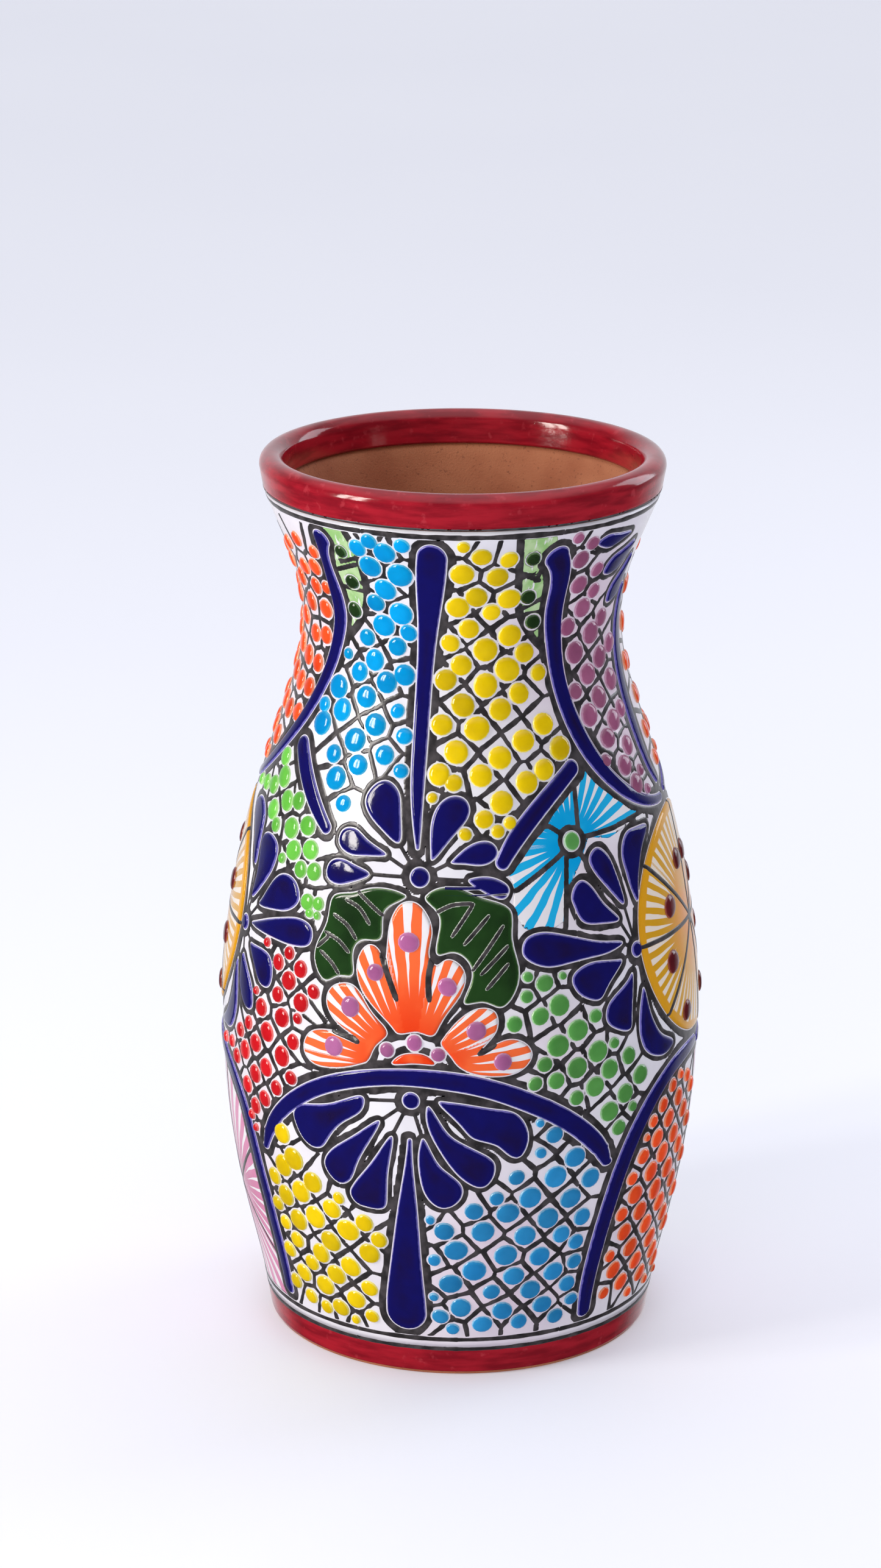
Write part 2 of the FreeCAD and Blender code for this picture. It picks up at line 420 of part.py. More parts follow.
BEADS = {
    "turquoise_beads": [
        (-28, 287.6, 2.6), (-17.7, 287.2, 2.5), (-32.6, 284.5, 2.9), (-23.6, 284, 3.5), (-29.6, 278.2, 3.7),
        (-19.8, 276.2, 4.1), (-25.8, 270.3, 3.6), (-30.3, 265, 3.0), (-21.2, 262.2, 3.8), (-28.1, 257.3, 3.7),
        (-18.8, 255.7, 2.7), (-35.2, 252.2, 2.8), (-23.1, 250.6, 3.0), (-43.8, 245.3, 1.8), (-32, 245, 3.4),
        (-20.2, 241.4, 3.4), (-38.2, 240.2, 3.1), (-26.8, 238.3, 3.5), (-47, 233.8, 3.8), (-34.2, 232.6, 3.5),
        (-21.8, 229.7, 2.3), (-52.3, 226.9, 2.4), (-43.4, 226.9, 3.6), (-29.2, 224.5, 3.6),
        (-18.6, 222.1, 2.6), (-51.2, 221, 3.8), (-35.8, 218.7, 3.8), (-24.4, 215.6, 3.1), (-42.9, 213, 2.9),
        (-33, 211.3, 3.3), (-18.5, 211.3, 2.3), (-40, 205.8, 3.7), (-35.6, 198.6, 2.7),
    ],
    "yellow_beads": [
        (0.3, 287.7, 2.1), (5.7, 284, 3.2), (14.0, 282.7, 3.0), (0, 277.7, 3.9), (11, 276.4, 3.6),
        (4.7, 269.3, 3.7), (15.6, 268.2, 3.8), (-1.4, 265.6, 3.8), (9.9, 263.7, 3.0), (2.4, 258, 3.4),
        (16.8, 255.2, 3.9), (-4, 253, 3.0), (8.2, 250.7, 4.1), (22.3, 248.9, 3.4), (-0.2, 245.6, 3.5),
        (16, 243.8, 4.2), (27.5, 241.7, 2.8), (-5.5, 240.7, 3.6), (8.2, 238.9, 4.1), (19.9, 235.7, 3.5),
        (0.4, 232.7, 3.9), (13, 231, 3.7), (-6.4, 226.4, 3.5), (5, 225.3, 4.1), (27.6, 225.2, 3.7),
        (20, 220.7, 3.8), (-1.6, 218.1, 3.9), (32.3, 217, 3.9), (12, 216.1, 3.8), (25.7, 211.2, 3.5),
        (5.9, 210.8, 3.7), (-6.6, 211.1, 3.5), (-2.2, 208.6, 2.8), (19.7, 207.9, 3.7), (11.7, 202.3, 3.8),
        (-8.3, 203.8, 1.7), (6.5, 197.3, 3.0), (13.7, 195.8, 2.1), (10.2, 193.4, 2.2), (1.2, 192.7, 2.1),
    ],
    "mauve_beads": [
        (35.6, 288, 2.1), (42, 285, 2.6), (39.2, 279.5, 3.3), (48.5, 274.3, 2.8), (41.7, 270, 3.4),
        (50.2, 266.3, 2.8), (46, 261, 3.6), (39.8, 255.4, 3.1), (58.3, 255.3, 3.2), (52.2, 251.2, 4.0),
        (43.7, 246, 3.8), (65.3, 245, 3.4), (57.5, 242, 3.8), (49.5, 237.8, 3.7), (42.4, 233.4, 2.8),
        (63, 233.3, 3.9), (53.6, 229.4, 3.8), (46.9, 224.9, 3.8), (65, 223, 3.0), (58.7, 220.8, 3.6),
        (53, 216.2, 3.5), (62.6, 211.5, 3.2), (49.5, 209.7, 2.2), (58, 206.1, 3.6), (66, 202.3, 2.0),
        (61.7, 198.9, 3.6), (67.4, 195.6, 1.8),
    ],
    "orange_neck_beads": [
        (-53, 279, 2.4), (-56, 273, 3.2), (-52.6, 266.3, 2.3), (-59.4, 265.5, 3.0), (-55.6, 258.3, 3.4),
        (-56.6, 249, 3.2), (-61, 238.6, 3.2), (-64, 271.4, 3.2), (-66.4, 258.6, 3.5), (-64.6, 248, 3.3),
        (-71.6, 266, 3.4), (-74.6, 252, 3.5), (-69.6, 239.4, 3.6), (-64.2, 229.8, 3.4), (-78.4, 241.6, 3.6),
        (-72.6, 230, 3.6), (-67.6, 220.6, 3.2), (-81, 231.4, 3.6), (-76, 219.6, 3.6), (-86.4, 245, 3.5),
        (-82.4, 258, 3.5), (-79.4, 270.4, 3.3), (-84.6, 220.4, 3.6), (-79.6, 209.6, 3.4), (-89.6, 233, 3.5),
        (-94, 247.6, 3.5), (-90.6, 260.4, 3.4), (-87.6, 273, 3.2), (-93, 222, 3.5), (-88.6, 210.6, 3.4),
        (-86, 201.6, 2.4), (-97.6, 234.6, 3.4), (-99, 261, 3.0), (-97, 211, 3.3), (-95, 200.6, 2.9),
        (-72, 278, 2.8), (-61.6, 281.6, 2.8),
    ],
    "light_green_beads": [
        (-65.8, 206.3, 2.9), (-63.1, 200.3, 3.4), (-74.4, 194.9, 2.6), (-68.4, 196, 3.0), (-58.2, 193.8, 3.2),
        (-52.8, 195.3, 2.8), (-64.7, 188.8, 3.2), (-46.8, 188.8, 3.1), (-53.3, 186.2, 3.3), (-61, 184.8, 2.3),
        (-44, 181.7, 3.1), (-50.5, 179.7, 3.2), (-54.6, 175.8, 1.7), (-46.4, 174.6, 2.6), (-41.5, 175.2, 2.8),
        (-42.2, 165.1, 2.6), (-38.5, 165.5, 2.1), (-41, 161.8, 1.5), (-38.4, 161.6, 1.3), (-80.6, 193.8, 1.9),
    ],
    "red_beads": [
        (-55, 147.3, 1.6), (-46.1, 146.8, 2.2), (-49.7, 142.5, 2.6), (-41.8, 142.8, 2.8), (-45.4, 137.7, 3.1),
        (-37.2, 136.6, 2.4), (-48.9, 131.7, 2.6), (-40.9, 131.7, 3.1), (-57.6, 129.6, 1.4), (-41.6, 126, 1.8),
        (-55, 124.8, 3.0), (-46.9, 124.4, 3.2), (-60.5, 117, 2.3), (-52.2, 117.3, 3.3), (-42.8, 117.5, 2.6),
        (-57, 111.3, 3.1), (-46.5, 111.1, 3.4), (-65, 112.4, 2.5), (-62.3, 106.5, 3.2), (-52.5, 104.6, 3.1),
        (-43.4, 104.6, 2.4), (-67.4, 101.8, 2.6), (-57.3, 100.2, 3.1), (-48.6, 98.9, 2.6), (-61.5, 94.4, 2.9),
        (-53.4, 93, 2.8), (-57.8, 88.4, 2.8), (-60, 84.2, 1.7), (-58.3, 80.2, 1.4), (-71, 105.4, 2.2),
        (-77, 104, 2.0),
    ],
    "mid_green_beads": [
        (16.3, 146.4, 1.8), (20.5, 143.7, 2.9), (25.2, 145.4, 1.4), (15.9, 139.9, 2.2), (24, 135.8, 3.6),
        (19.1, 132.9, 3.0), (12.8, 131.1, 2.7), (33.6, 130, 2.4), (28.6, 126.4, 3.7), (23.4, 122.2, 3.8),
        (20, 116.4, 2.6), (34, 117.7, 3.7), (38.8, 119.2, 2.0), (28.3, 113.5, 3.6), (17.7, 110.1, 2.4),
        (22.9, 110.2, 2.9), (43.4, 113.2, 3.0), (37.4, 110.5, 3.4), (33.2, 105.6, 3.5), (28.2, 103, 2.6),
        (47.4, 105, 3.4), (42.4, 100.2, 3.4), (37.6, 95.3, 3.6), (45, 94.6, 1.9), (40.8, 88.4, 2.8),
    ],
    "lower_yellow_beads": [
        (-47.3, 83, 3.5), (-43.9, 75, 4.0), (-48, 70.8, 3.8), (-38.2, 68.4, 3.7), (-52.2, 65, 2.9),
        (-42.6, 63.2, 3.8), (-30.6, 65.2, 2.1), (-48.5, 59.3, 3.6), (-33.1, 60.2, 3.3), (-24, 57.5, 3.1),
        (-38.7, 55, 3.9), (-52.6, 54.5, 2.6), (-28.9, 53.3, 3.9), (-20.4, 51.8, 2.8), (-45, 51.4, 3.7),
        (-50.7, 48, 2.6), (-34.7, 47.1, 3.7), (-23.4, 45.8, 3.6), (-38.7, 41, 3.5), (-29.5, 38.8, 3.6),
        (-42.8, 35.6, 2.9), (-34.6, 33.9, 3.6), (-24.6, 31.5, 2.9), (-39.3, 28, 3.6), (-29.3, 25.7, 3.4),
        (-35, 20.6, 3.1), (-24.8, 20.2, 2.4), (-40.2, 19, 2.4), (-47, 42.8, 3.0), (-51.4, 37.2, 2.9),
        (-47.2, 29.8, 3.3), (-51.8, 24.6, 2.8), (-46, 21, 2.7), (-30.2, 17.4, 1.6),
    ],
    "lower_blue_beads": [
        (19, 96, 1.5), (22.7, 91, 2.9), (19.4, 85.2, 2.0), (28.4, 81.5, 3.6), (13.7, 77, 2.7),
        (23.5, 75.5, 3.9), (9.0, 69.7, 2.5), (33.2, 72.5, 3.5), (17.3, 69, 3.8), (-7.0, 61.6, 1.6),
        (3.6, 65.1, 3.1), (11.9, 63.8, 3.7), (28, 66.4, 3.7), (-3.6, 57.4, 3.3), (5.9, 57.2, 3.8),
        (22.3, 60.2, 3.8), (31.9, 58.2, 3.2), (-0.7, 50, 3.8), (16.6, 54.5, 3.7), (-6.2, 46, 2.2),
        (11.9, 47.5, 3.9), (26.4, 53, 3.2), (4, 42, 4.0), (-2.1, 36.7, 3.8), (14.4, 38.9, 3.6),
        (21, 45.6, 3.6), (31, 48.8, 2.9), (8.7, 33.2, 2.9), (-6.6, 31.2, 1.6), (0.6, 27, 3.6),
        (-5.0, 23.3, 2.8), (19.4, 32.6, 3.6), (25.4, 38.6, 3.5), (12, 25.2, 3.5), (6.6, 20.2, 3.3),
        (-1.6, 18.4, 2.2), (17, 20.2, 2.9), (23.4, 25.8, 3.4), (30.2, 32.4, 3.1), (31.4, 41, 2.8),
        (28, 20, 2.9), (32.4, 25.6, 2.4),
    ],
    "lower_orange_beads": [
        (62, 94.6, 2.3), (57.6, 89.6, 2.6), (66.4, 96.6, 1.8), (53.6, 85.4, 2.2), (51.4, 80.4, 1.4),
        (66, 88.5, 3.0), (61.2, 83, 3.2), (56.2, 78, 3.2), (50.8, 73.6, 2.8), (70.6, 82, 3.1),
        (65.2, 75.5, 3.3), (59.8, 71, 3.5), (47.4, 66.8, 2.4), (55.2, 66, 3.5), (70, 69, 3.2),
        (64.4, 63, 3.6), (49.6, 59.8, 3.5), (59, 57.6, 3.7), (45.4, 54, 2.6), (69.4, 56.4, 3.2),
        (53.2, 52, 3.5), (63.4, 50.6, 3.5), (71.6, 93.6, 2.4), (76, 88, 2.8), (75.6, 75.6, 3.0),
        (75.4, 62.8, 3.0), (74.6, 50, 3.0), (68.6, 44, 3.2), (57.8, 44.8, 3.5), (47.8, 46.2, 3.2),
        (52.2, 38.4, 3.5), (62.8, 37, 3.5), (73.6, 37.6, 3.2), (43.8, 38.4, 2.2), (46.6, 31.8, 3.2),
        (57, 31, 3.4), (67.8, 30, 3.4), (51.6, 25, 3.2), (62.2, 23.6, 3.2), (73, 24.2, 3.2),
        (44.6, 23.4, 2.2), (67.6, 18.6, 1.9), (56.6, 18.8, 1.9), (77.4, 17.8, 1.6),
    ],
    "dark_green_beads": [
        (-39.4, 282, 2.3), (-38.4, 271.2, 2.6), (-39.7, 261, 2.7), (21.6, 282.3, 2.5), (22.2, 268.3, 2.6),
        (25, 259.2, 2.6),
    ],
    "coral_lobe_beads": [
        (-12.6, 157.8, 3.2), (-20.6, 147, 2.7), (-26.5, 134.5, 3.2), (-30.4, 120.2, 3.2), (-3, 144, 2.9),
        (3.8, 129.5, 3.0), (9.9, 118.8, 2.8),
    ],
    "flower_heart_beads": [(-17.1, 121.6, 2.4), (-10.6, 124.8, 2.6), (-5.0, 121.2, 2.3)],
    "medallion_beads": [
        (64.8, 156.3, 3.6), (62.6, 138.2, 3.6), (75.4, 168.6, 3.4), (69, 118.4, 3.2), (94.2, 156.3, 3.6),
        (96.4, 138.2, 3.6), (83.8, 168.6, 3.4), (90, 118.4, 3.2),
    ],
}

# Beads that sit on a pad of glaze instead of on the white coat.
BEADS_ON_PADS = ("coral_lobe_beads", "medallion_beads")


def layer_solid(low, high):
    """A closed turned layer between two shifts from the clay, used to trim raised glaze."""
    near = wall_curve(low, upright=True).toShape()
    far = wall_curve(high, upright=True).toShape()
    foot_edge = Part.makeLine(near.Vertexes[0].Point, far.Vertexes[0].Point)
    mouth_edge = Part.makeLine(near.Vertexes[-1].Point, far.Vertexes[-1].Point)
    section = Part.Face(Part.Wire(Part.sortEdges([near, mouth_edge, far, foot_edge])[0]))
    return section.revolve(Vector(0, 0, 0), Vector(0, 0, 1), 360)


pad_layer = layer_solid(coat_thickness, coat_thickness + pad_thickness)
bead_layer = layer_solid(coat_thickness, coat_thickness + 2 * bead_height)
high_bead_layer = layer_solid(coat_thickness + pad_thickness, coat_thickness + pad_thickness + 2 * bead_height)


def outward(angle):
    turn_angle = math.radians(angle)
    return Vector(math.sin(turn_angle), -math.cos(turn_angle), 0)


def sideways(angle):
    turn_angle = math.radians(angle)
    return Vector(math.cos(turn_angle), math.sin(turn_angle), 0)


def span_middle(places):
    angles = [place[0] for place in places]
    return (min(angles) + max(angles)) / 2


def on_drawing_plane(angle, level, middle):
    """Where a place on the wall falls on the upright plane that faces outward(middle)."""
    inside_wall = 20.0
    across = coat_radius(level) * math.sin(math.radians(angle - middle))
    return outward(middle) * inside_wall + sideways(middle) * across + Vector(0, 0, level)


def smooth_edge(points, closed):
    curve = Part.BSplineCurve()
    curve.interpolate(Points=points, PeriodicFlag=closed)
    return curve.toShape()


def pushed_through(wire, middle):
    """The outline driven straight through the wall and kept to the pad layer."""
    reach = 90.0
    return Part.Face(wire).extrude(outward(middle) * reach).common(pad_layer)


def glaze_pad(outline):
    """A pad with a closed smooth outline."""
    middle = span_middle(outline)
    points = [on_drawing_plane(angle, level, middle) for angle, level in outline]
    return pushed_through(Part.Wire(smooth_edge(points, closed=True)), middle)


def glaze_stroke(stroke):
    """A pad that follows a brush stroke: two smooth sides and two round ends."""
    middle = span_middle(stroke)
    left = []
    right = []
    tips = []
    for number, (angle, level, half_width) in enumerate(stroke):
        before = stroke[max(number - 1, 0)]
        after = stroke[min(number + 1, len(stroke) - 1)]
        degree = math.radians(1) * coat_radius(level)
        run = ((after[0] - before[0]) * degree, after[1] - before[1])
        share = half_width / math.hypot(*run)
        across = (run[1] * share / degree, run[0] * share)
        along = (run[0] * share / degree, run[1] * share)
        left.append(on_drawing_plane(angle - across[0], level + across[1], middle))
        right.append(on_drawing_plane(angle + across[0], level - across[1], middle))
        sign = -1 if number == 0 else 1
        tips.append(on_drawing_plane(angle + sign * along[0], level + sign * along[1], middle))
    start_round = Part.Arc(right[0], tips[0], left[0]).toShape()
    end_round = Part.Arc(left[-1], tips[-1], right[-1]).toShape()
    edges = [start_round, smooth_edge(left, closed=False), end_round, smooth_edge(right[::-1], closed=False)]
    return pushed_through(Part.Wire(edges), middle)


def glaze_disc(angle, level, radius):
    """A round pad: a bar of that radius along the wall's outward direction, kept to the pad layer."""
    bar = Part.makeCylinder(radius, 90.0, Vector(0, 0, level) + outward(angle) * 20.0, outward(angle))
    return bar.common(pad_layer)


def wall_normal(angle, level):
    """The direction that the wall faces at a place."""
    along = coat_curve.tangent((level - wall_foot) / (wall_mouth - wall_foot))[0]
    return outward(angle) * along.z - Vector(0, 0, along.x)


def glaze_bead(angle, level, radius, layer, seat):
    """A bead: the cap of a ball that rises from its seat, with the ball's seam facing inward."""
    rise = bead_height * min(1.0, radius / sheet.full_bead_radius)
    ball = (radius * radius + rise * rise) / (2 * rise)
    place = outward(angle) * coat_radius(level) + Vector(0, 0, level)
    sphere = Part.makeSphere(ball)
    sphere.rotate(Vector(0, 0, 0), Vector(0, 0, 1), angle + 90.0)
    sphere.translate(place + wall_normal(angle, level) * (seat + rise - ball))
    return sphere.common(layer)


def painted_twice(shapes):
    """One compound with every raised piece on both halves of the wall."""
    solids = []
    for turn_angle in TURNS:
        for shape in shapes:
            for solid in shape.Solids:
                copy = solid.copy()
                copy.rotate(Vector(0, 0, 0), Vector(0, 0, 1), turn_angle)
                solids.append(copy)
    return Part.makeCompound(solids)


def glaze_feature(label, shapes):
    feature = doc.addObject("Part::Feature", label)
    feature.Label = label
    feature.Shape = painted_twice(shapes)
    feature.Placement = FreeCAD.Placement()
    return feature


def raised_glaze():
    """Every node of raised glaze: strokes, outlined pads, discs and beads."""
    features = []
    for label, strokes in STROKES.items():
        features.append(glaze_feature(label, [glaze_stroke(stroke) for stroke in strokes]))
    for label, outlines in OUTLINES.items():
        features.append(glaze_feature(label, [glaze_pad(outline) for outline in outlines]))
    for label, discs in DISCS.items():
        features.append(glaze_feature(label, [glaze_disc(*disc) for disc in discs]))
    for label, beads in BEADS.items():
        on_pad = label in BEADS_ON_PADS
        layer = high_bead_layer if on_pad else bead_layer
        seat = pad_thickness if on_pad else 0.0
        features.append(glaze_feature(label, [glaze_bead(*bead, layer, seat) for bead in beads]))
    return features


# ---------------------------------------------------------------- build, check and write

CLAY_FACE = (0.0, "0")
CLAY_BACK = (-sheet.wall_thickness, "0 - Sheet.wall_thickness")
COAT_FACE = (coat_thickness, "Sheet.coat_thickness")

subparts = wall_sections(wall_layer("thrown_wall", CLAY_BACK, CLAY_FACE))
subparts += [
    clay_floor(),
    foot_ring(),
    rim_roll(),
    wall_layer("white_glaze_coat", CLAY_FACE, COAT_FACE),
    rim_band_glaze(),
    foot_band_glaze(),
]
subparts += raised_glaze()
doc.recompute()

for item in doc.Objects:
    if "Invalid" in item.State or "Error" in item.State:
        raise RuntimeError("failed object: " + item.Name)
for subpart in subparts:
    if subpart.Shape.isNull() or not subpart.Shape.isValid():
        raise RuntimeError("bad shape: " + subpart.Label)

os.makedirs("parts", exist_ok=True)
for subpart in subparts:
    solids = subpart.Shape.Solids
    print("%-22s %4d solids %10.1f mm3" % (subpart.Label, len(solids), subpart.Shape.Volume))
    subpart.Shape.exportStep(os.path.join("parts", subpart.Label + ".step"))
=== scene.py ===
# %% [markdown]
# # A painted pottery vase
# The vase is thrown clay under white glaze. On the white, the painter lays lines of charcoal
# with a fine brush and fills the spaces between them with thick coloured glaze, which melts
# into pads and beads that can be felt with a finger. This notebook makes those layers in the
# painter's order: the turned body, the pads, the beads, the charcoal lines and the thin washes.
#
# The CAD frame gives the sizes and places, so the first cell loads it and keeps its box.

import math

import bmesh
import bpy
import numpy as np
from mathutils import Matrix, Vector


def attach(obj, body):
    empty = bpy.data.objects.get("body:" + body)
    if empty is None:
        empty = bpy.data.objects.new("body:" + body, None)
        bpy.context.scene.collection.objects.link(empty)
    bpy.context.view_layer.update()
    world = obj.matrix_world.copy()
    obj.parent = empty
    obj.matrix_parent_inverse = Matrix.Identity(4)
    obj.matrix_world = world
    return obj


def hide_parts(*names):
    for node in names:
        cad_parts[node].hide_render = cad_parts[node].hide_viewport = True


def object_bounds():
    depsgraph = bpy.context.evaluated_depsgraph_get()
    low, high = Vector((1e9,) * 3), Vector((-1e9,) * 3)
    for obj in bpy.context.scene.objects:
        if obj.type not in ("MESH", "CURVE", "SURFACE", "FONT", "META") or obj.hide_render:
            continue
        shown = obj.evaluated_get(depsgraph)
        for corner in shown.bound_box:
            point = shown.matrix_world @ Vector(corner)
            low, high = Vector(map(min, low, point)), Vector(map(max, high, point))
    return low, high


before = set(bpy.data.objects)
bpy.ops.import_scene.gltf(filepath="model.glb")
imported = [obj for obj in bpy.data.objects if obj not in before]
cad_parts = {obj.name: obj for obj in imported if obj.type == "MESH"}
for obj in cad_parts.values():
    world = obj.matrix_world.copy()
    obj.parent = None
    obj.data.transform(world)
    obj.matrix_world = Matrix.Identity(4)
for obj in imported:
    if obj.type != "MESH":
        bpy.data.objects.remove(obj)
cad_box = [list(corner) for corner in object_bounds()]
MM = 0.001
print("CAD box in mm:", [[round(value / MM, 1) for value in corner] for corner in cad_box])

# %% [markdown]
# ## The wall's curve
# Everything on this vase lies on one turned curve: belly, shoulder, neck and flare. It is a
# cubic spline whose poles climb evenly, so its parameter is simply the share of the way up.
# A place on the wall is then two numbers, as on a map: the angle round the axis from the
# front, and the level above the table. `on_wall` turns a place and a height above the white
# glaze into a point in space. Drawing on the map and wrapping it afterwards is much easier
# than drawing on the round, because a line on the map stays on the surface.

# %% Wall curve and wrapping
WALL_RADII = [66.7, 68.1, 73.3, 78.8, 81.2, 80.9, 77.2, 71.1, 62.6, 51.8, 52.5, 62.6, 65.8]
WALL_FOOT = 10.0
WALL_MOUTH = 294.0
WALL_THICKNESS = 7.0
COAT = 0.6
FOOT_RADIUS = 65.3
LIP_OUTER = 67.0
LIP_INNER = 59.8
LIP_LEVEL = 300.8
TOP_LEVEL = cad_box[1][2] / MM


def spline_radius(level):
    """The clay's radius at each level between the foot ring and the rim."""
    spans = len(WALL_RADII) - 3
    share = np.clip((level - WALL_FOOT) / (WALL_MOUTH - WALL_FOOT), 0, 1 - 1e-9)
    knots = np.clip(np.arange(-3, spans + 4) / spans, 0, 1)
    weights = [((low <= share) & (share < high)) * 1.0 for low, high in zip(knots, knots[1:])]
    for degree in (1, 2, 3):
        raised = []
        for i in range(len(weights) - 1):
            rise = knots[i + degree] - knots[i]
            fall = knots[i + degree + 1] - knots[i + 1]
            total = (share - knots[i]) / rise * weights[i] if rise else 0 * share
            if fall:
                total = total + (knots[i + degree + 1] - share) / fall * weights[i + 1]
            raised.append(total)
        weights = raised
    return sum(weight * radius for weight, radius in zip(weights, WALL_RADII))


TABLE_LEVELS = np.linspace(0, 300, 3001)
TABLE_RADII = spline_radius(TABLE_LEVELS)
below = TABLE_LEVELS < WALL_FOOT
above = TABLE_LEVELS > WALL_MOUTH
TABLE_RADII[below] = np.interp(TABLE_LEVELS[below], [0, WALL_FOOT], [FOOT_RADIUS - 0.1, WALL_RADII[0]])
TABLE_RADII[above] = np.interp(TABLE_LEVELS[above], [WALL_MOUTH, LIP_LEVEL], [WALL_RADII[-1], LIP_OUTER])
TABLE_SLOPES = np.gradient(TABLE_RADII, TABLE_LEVELS)


def clay_radius(level):
    return np.interp(level, TABLE_LEVELS, TABLE_RADII)


def wall_slope(level):
    return np.interp(level, TABLE_LEVELS, TABLE_SLOPES)


def outward_parts(level):
    """How much of the wall's outward direction points away from the axis, and how much up."""
    slope = wall_slope(level)
    length = np.sqrt(1 + slope * slope)
    return 1 / length, -slope / length


def on_wall(angle, level, height):
    """Points in metres that stand height millimetres off the white glaze."""
    away, up = outward_parts(level)
    radius = clay_radius(level) + COAT + height * away
    turn = np.radians(angle)
    return np.stack([radius * np.sin(turn), -radius * np.cos(turn), level + height * up], axis=-1) * MM


print("belly radius %.1f mm, neck radius %.1f mm" % (TABLE_RADII.max(), TABLE_RADII[2000:2700].min()))

# %% [markdown]
# ## Making glaze finishes
# Pottery glaze is coloured glass. Where it is thick it is deep, where it thins at an edge the
# white under it shines through, and its face is smooth but never quite flat, so reflections
# wobble. One helper builds that for every colour: a clear coat over a base colour that a soft
# noise shifts a little, and a very fine bump. Pieces that know how far each point is from
# their edge keep that distance in an attribute called `depth`, and the colour thins with it.

# %% Node helpers


def node(tree, kind, settings=None, **inputs):
    """Adds a node, sets its properties and fills its sockets with values or links."""
    made = tree.nodes.new(kind)
    for name, value in (settings or {}).items():
        setattr(made, name, value)
    for name, value in inputs.items():
        key = int(name[1:]) if name[0] == "i" and name[1:].isdigit() else name.replace("_", " ")
        socket = made.inputs[key]
        if isinstance(value, bpy.types.NodeSocket):
            tree.links.new(value, socket)
        else:
            socket.default_value = value
    return made


def linear(red, green, blue):
    """A screen colour, 0 to 255 a channel, as light."""
    channels = [value / 255 for value in (red, green, blue)]
    return [c / 12.92 if c <= 0.04045 else ((c + 0.055) / 1.055) ** 2.4 for c in channels] + [1.0]


def start_material(name, roughness, coat=0.35):
    material = bpy.data.materials.new(name)
    material.use_nodes = True
    tree = material.node_tree
    shader = tree.nodes["Principled BSDF"]
    shader.inputs["Roughness"].default_value = roughness
    shader.inputs["Coat Weight"].default_value = coat
    shader.inputs["Coat Roughness"].default_value = 0.04
    return material, tree, shader


def math_node(tree, operation, first, second=0.0):
    return node(tree, "ShaderNodeMath", {"operation": operation}, i0=first, i1=second).outputs[0]


def smooth_step(tree, value, low, high):
    """0 below low, 1 above high, and a soft climb between."""
    made = node(tree, "ShaderNodeMapRange", {"interpolation_type": "SMOOTHSTEP", "clamp": True},
                Value=value, From_Min=low, From_Max=high)
    return made.outputs[0]


def blend_colour(tree, share, first, second):
    made = node(tree, "ShaderNodeMix", {"data_type": "RGBA"}, i0=share, i6=first, i7=second)
    return made.outputs[2]


def soft_noise(tree, scale, detail=2.0, where=None):
    """Noise in the object's own space; scale is features to the metre."""
    if where is None:
        where = node(tree, "ShaderNodeTexCoord").outputs["Object"]
    return node(tree, "ShaderNodeTexNoise", Vector=where, Scale=scale, Detail=detail).outputs["Fac"]


def glassy_bump(tree, shader, fine=0.15):
    """Slow waves and fine ripples in the glaze's face, with a few pinholes."""
    slow = soft_noise(tree, 90.0, 1.0)
    ripple = soft_noise(tree, 650.0, 2.0)
    pits = node(tree, "ShaderNodeTexVoronoi", Vector=node(tree, "ShaderNodeTexCoord").outputs["Object"],
                Scale=260.0).outputs["Distance"]
    pit = math_node(tree, "MULTIPLY", smooth_step(tree, pits, 0.0, 0.07), 0.35)
    height = math_node(tree, "ADD", slow, math_node(tree, "MULTIPLY", ripple, fine))
    height = math_node(tree, "ADD", height, pit)
    bump = node(tree, "ShaderNodeBump", Strength=0.30, Distance=0.0006, Height=height)
    tree.links.new(bump.outputs[0], shader.inputs["Normal"])


def attribute(tree, name):
    return node(tree, "ShaderNodeAttribute", {"attribute_name": name}).outputs["Fac"]


# %% [markdown]
# Pads and beads share one finish, `glaze`. It needs three colours: deep in the middle, the
# glaze's own colour, and the thin glaze of the very edge. For a pad `depth` is the distance
# from the edge in millimetres; for a bead it is measured the same way from its rim.

# %% The glaze finish


def glaze(name, deep, body, thin, roughness=0.1, thin_until=0.55, deep_from=1.6, streak=0.25):
    """Glaze that is thin at the edge, its own colour further in and deep in the middle."""
    material, tree, shader = start_material(name, roughness)
    depth = attribute(tree, "depth")
    tint = attribute(tree, "tint")
    wander = math_node(tree, "MULTIPLY", math_node(tree, "SUBTRACT", soft_noise(tree, 420.0), 0.5), 0.5)
    uneven = math_node(tree, "ADD", depth, wander)
    colour = blend_colour(tree, smooth_step(tree, uneven, 0.10, thin_until), thin, body)
    pooled = math_node(tree, "MULTIPLY", smooth_step(tree, uneven, thin_until, deep_from),
                       smooth_step(tree, soft_noise(tree, 75.0, 2.0), 0.25, 0.85))
    colour = blend_colour(tree, pooled, colour, deep)
    shade = math_node(tree, "MULTIPLY", math_node(tree, "SUBTRACT", soft_noise(tree, 230.0, 3.0), 0.5), streak)
    shade = math_node(tree, "ADD", math_node(tree, "ADD", shade, 1.0),
                      math_node(tree, "MULTIPLY", tint, 0.16))
    toned = node(tree, "ShaderNodeHueSaturation", Value=shade, Color=colour)
    tree.links.new(toned.outputs[0], shader.inputs["Base Color"])
    glassy_bump(tree, shader)
    return material


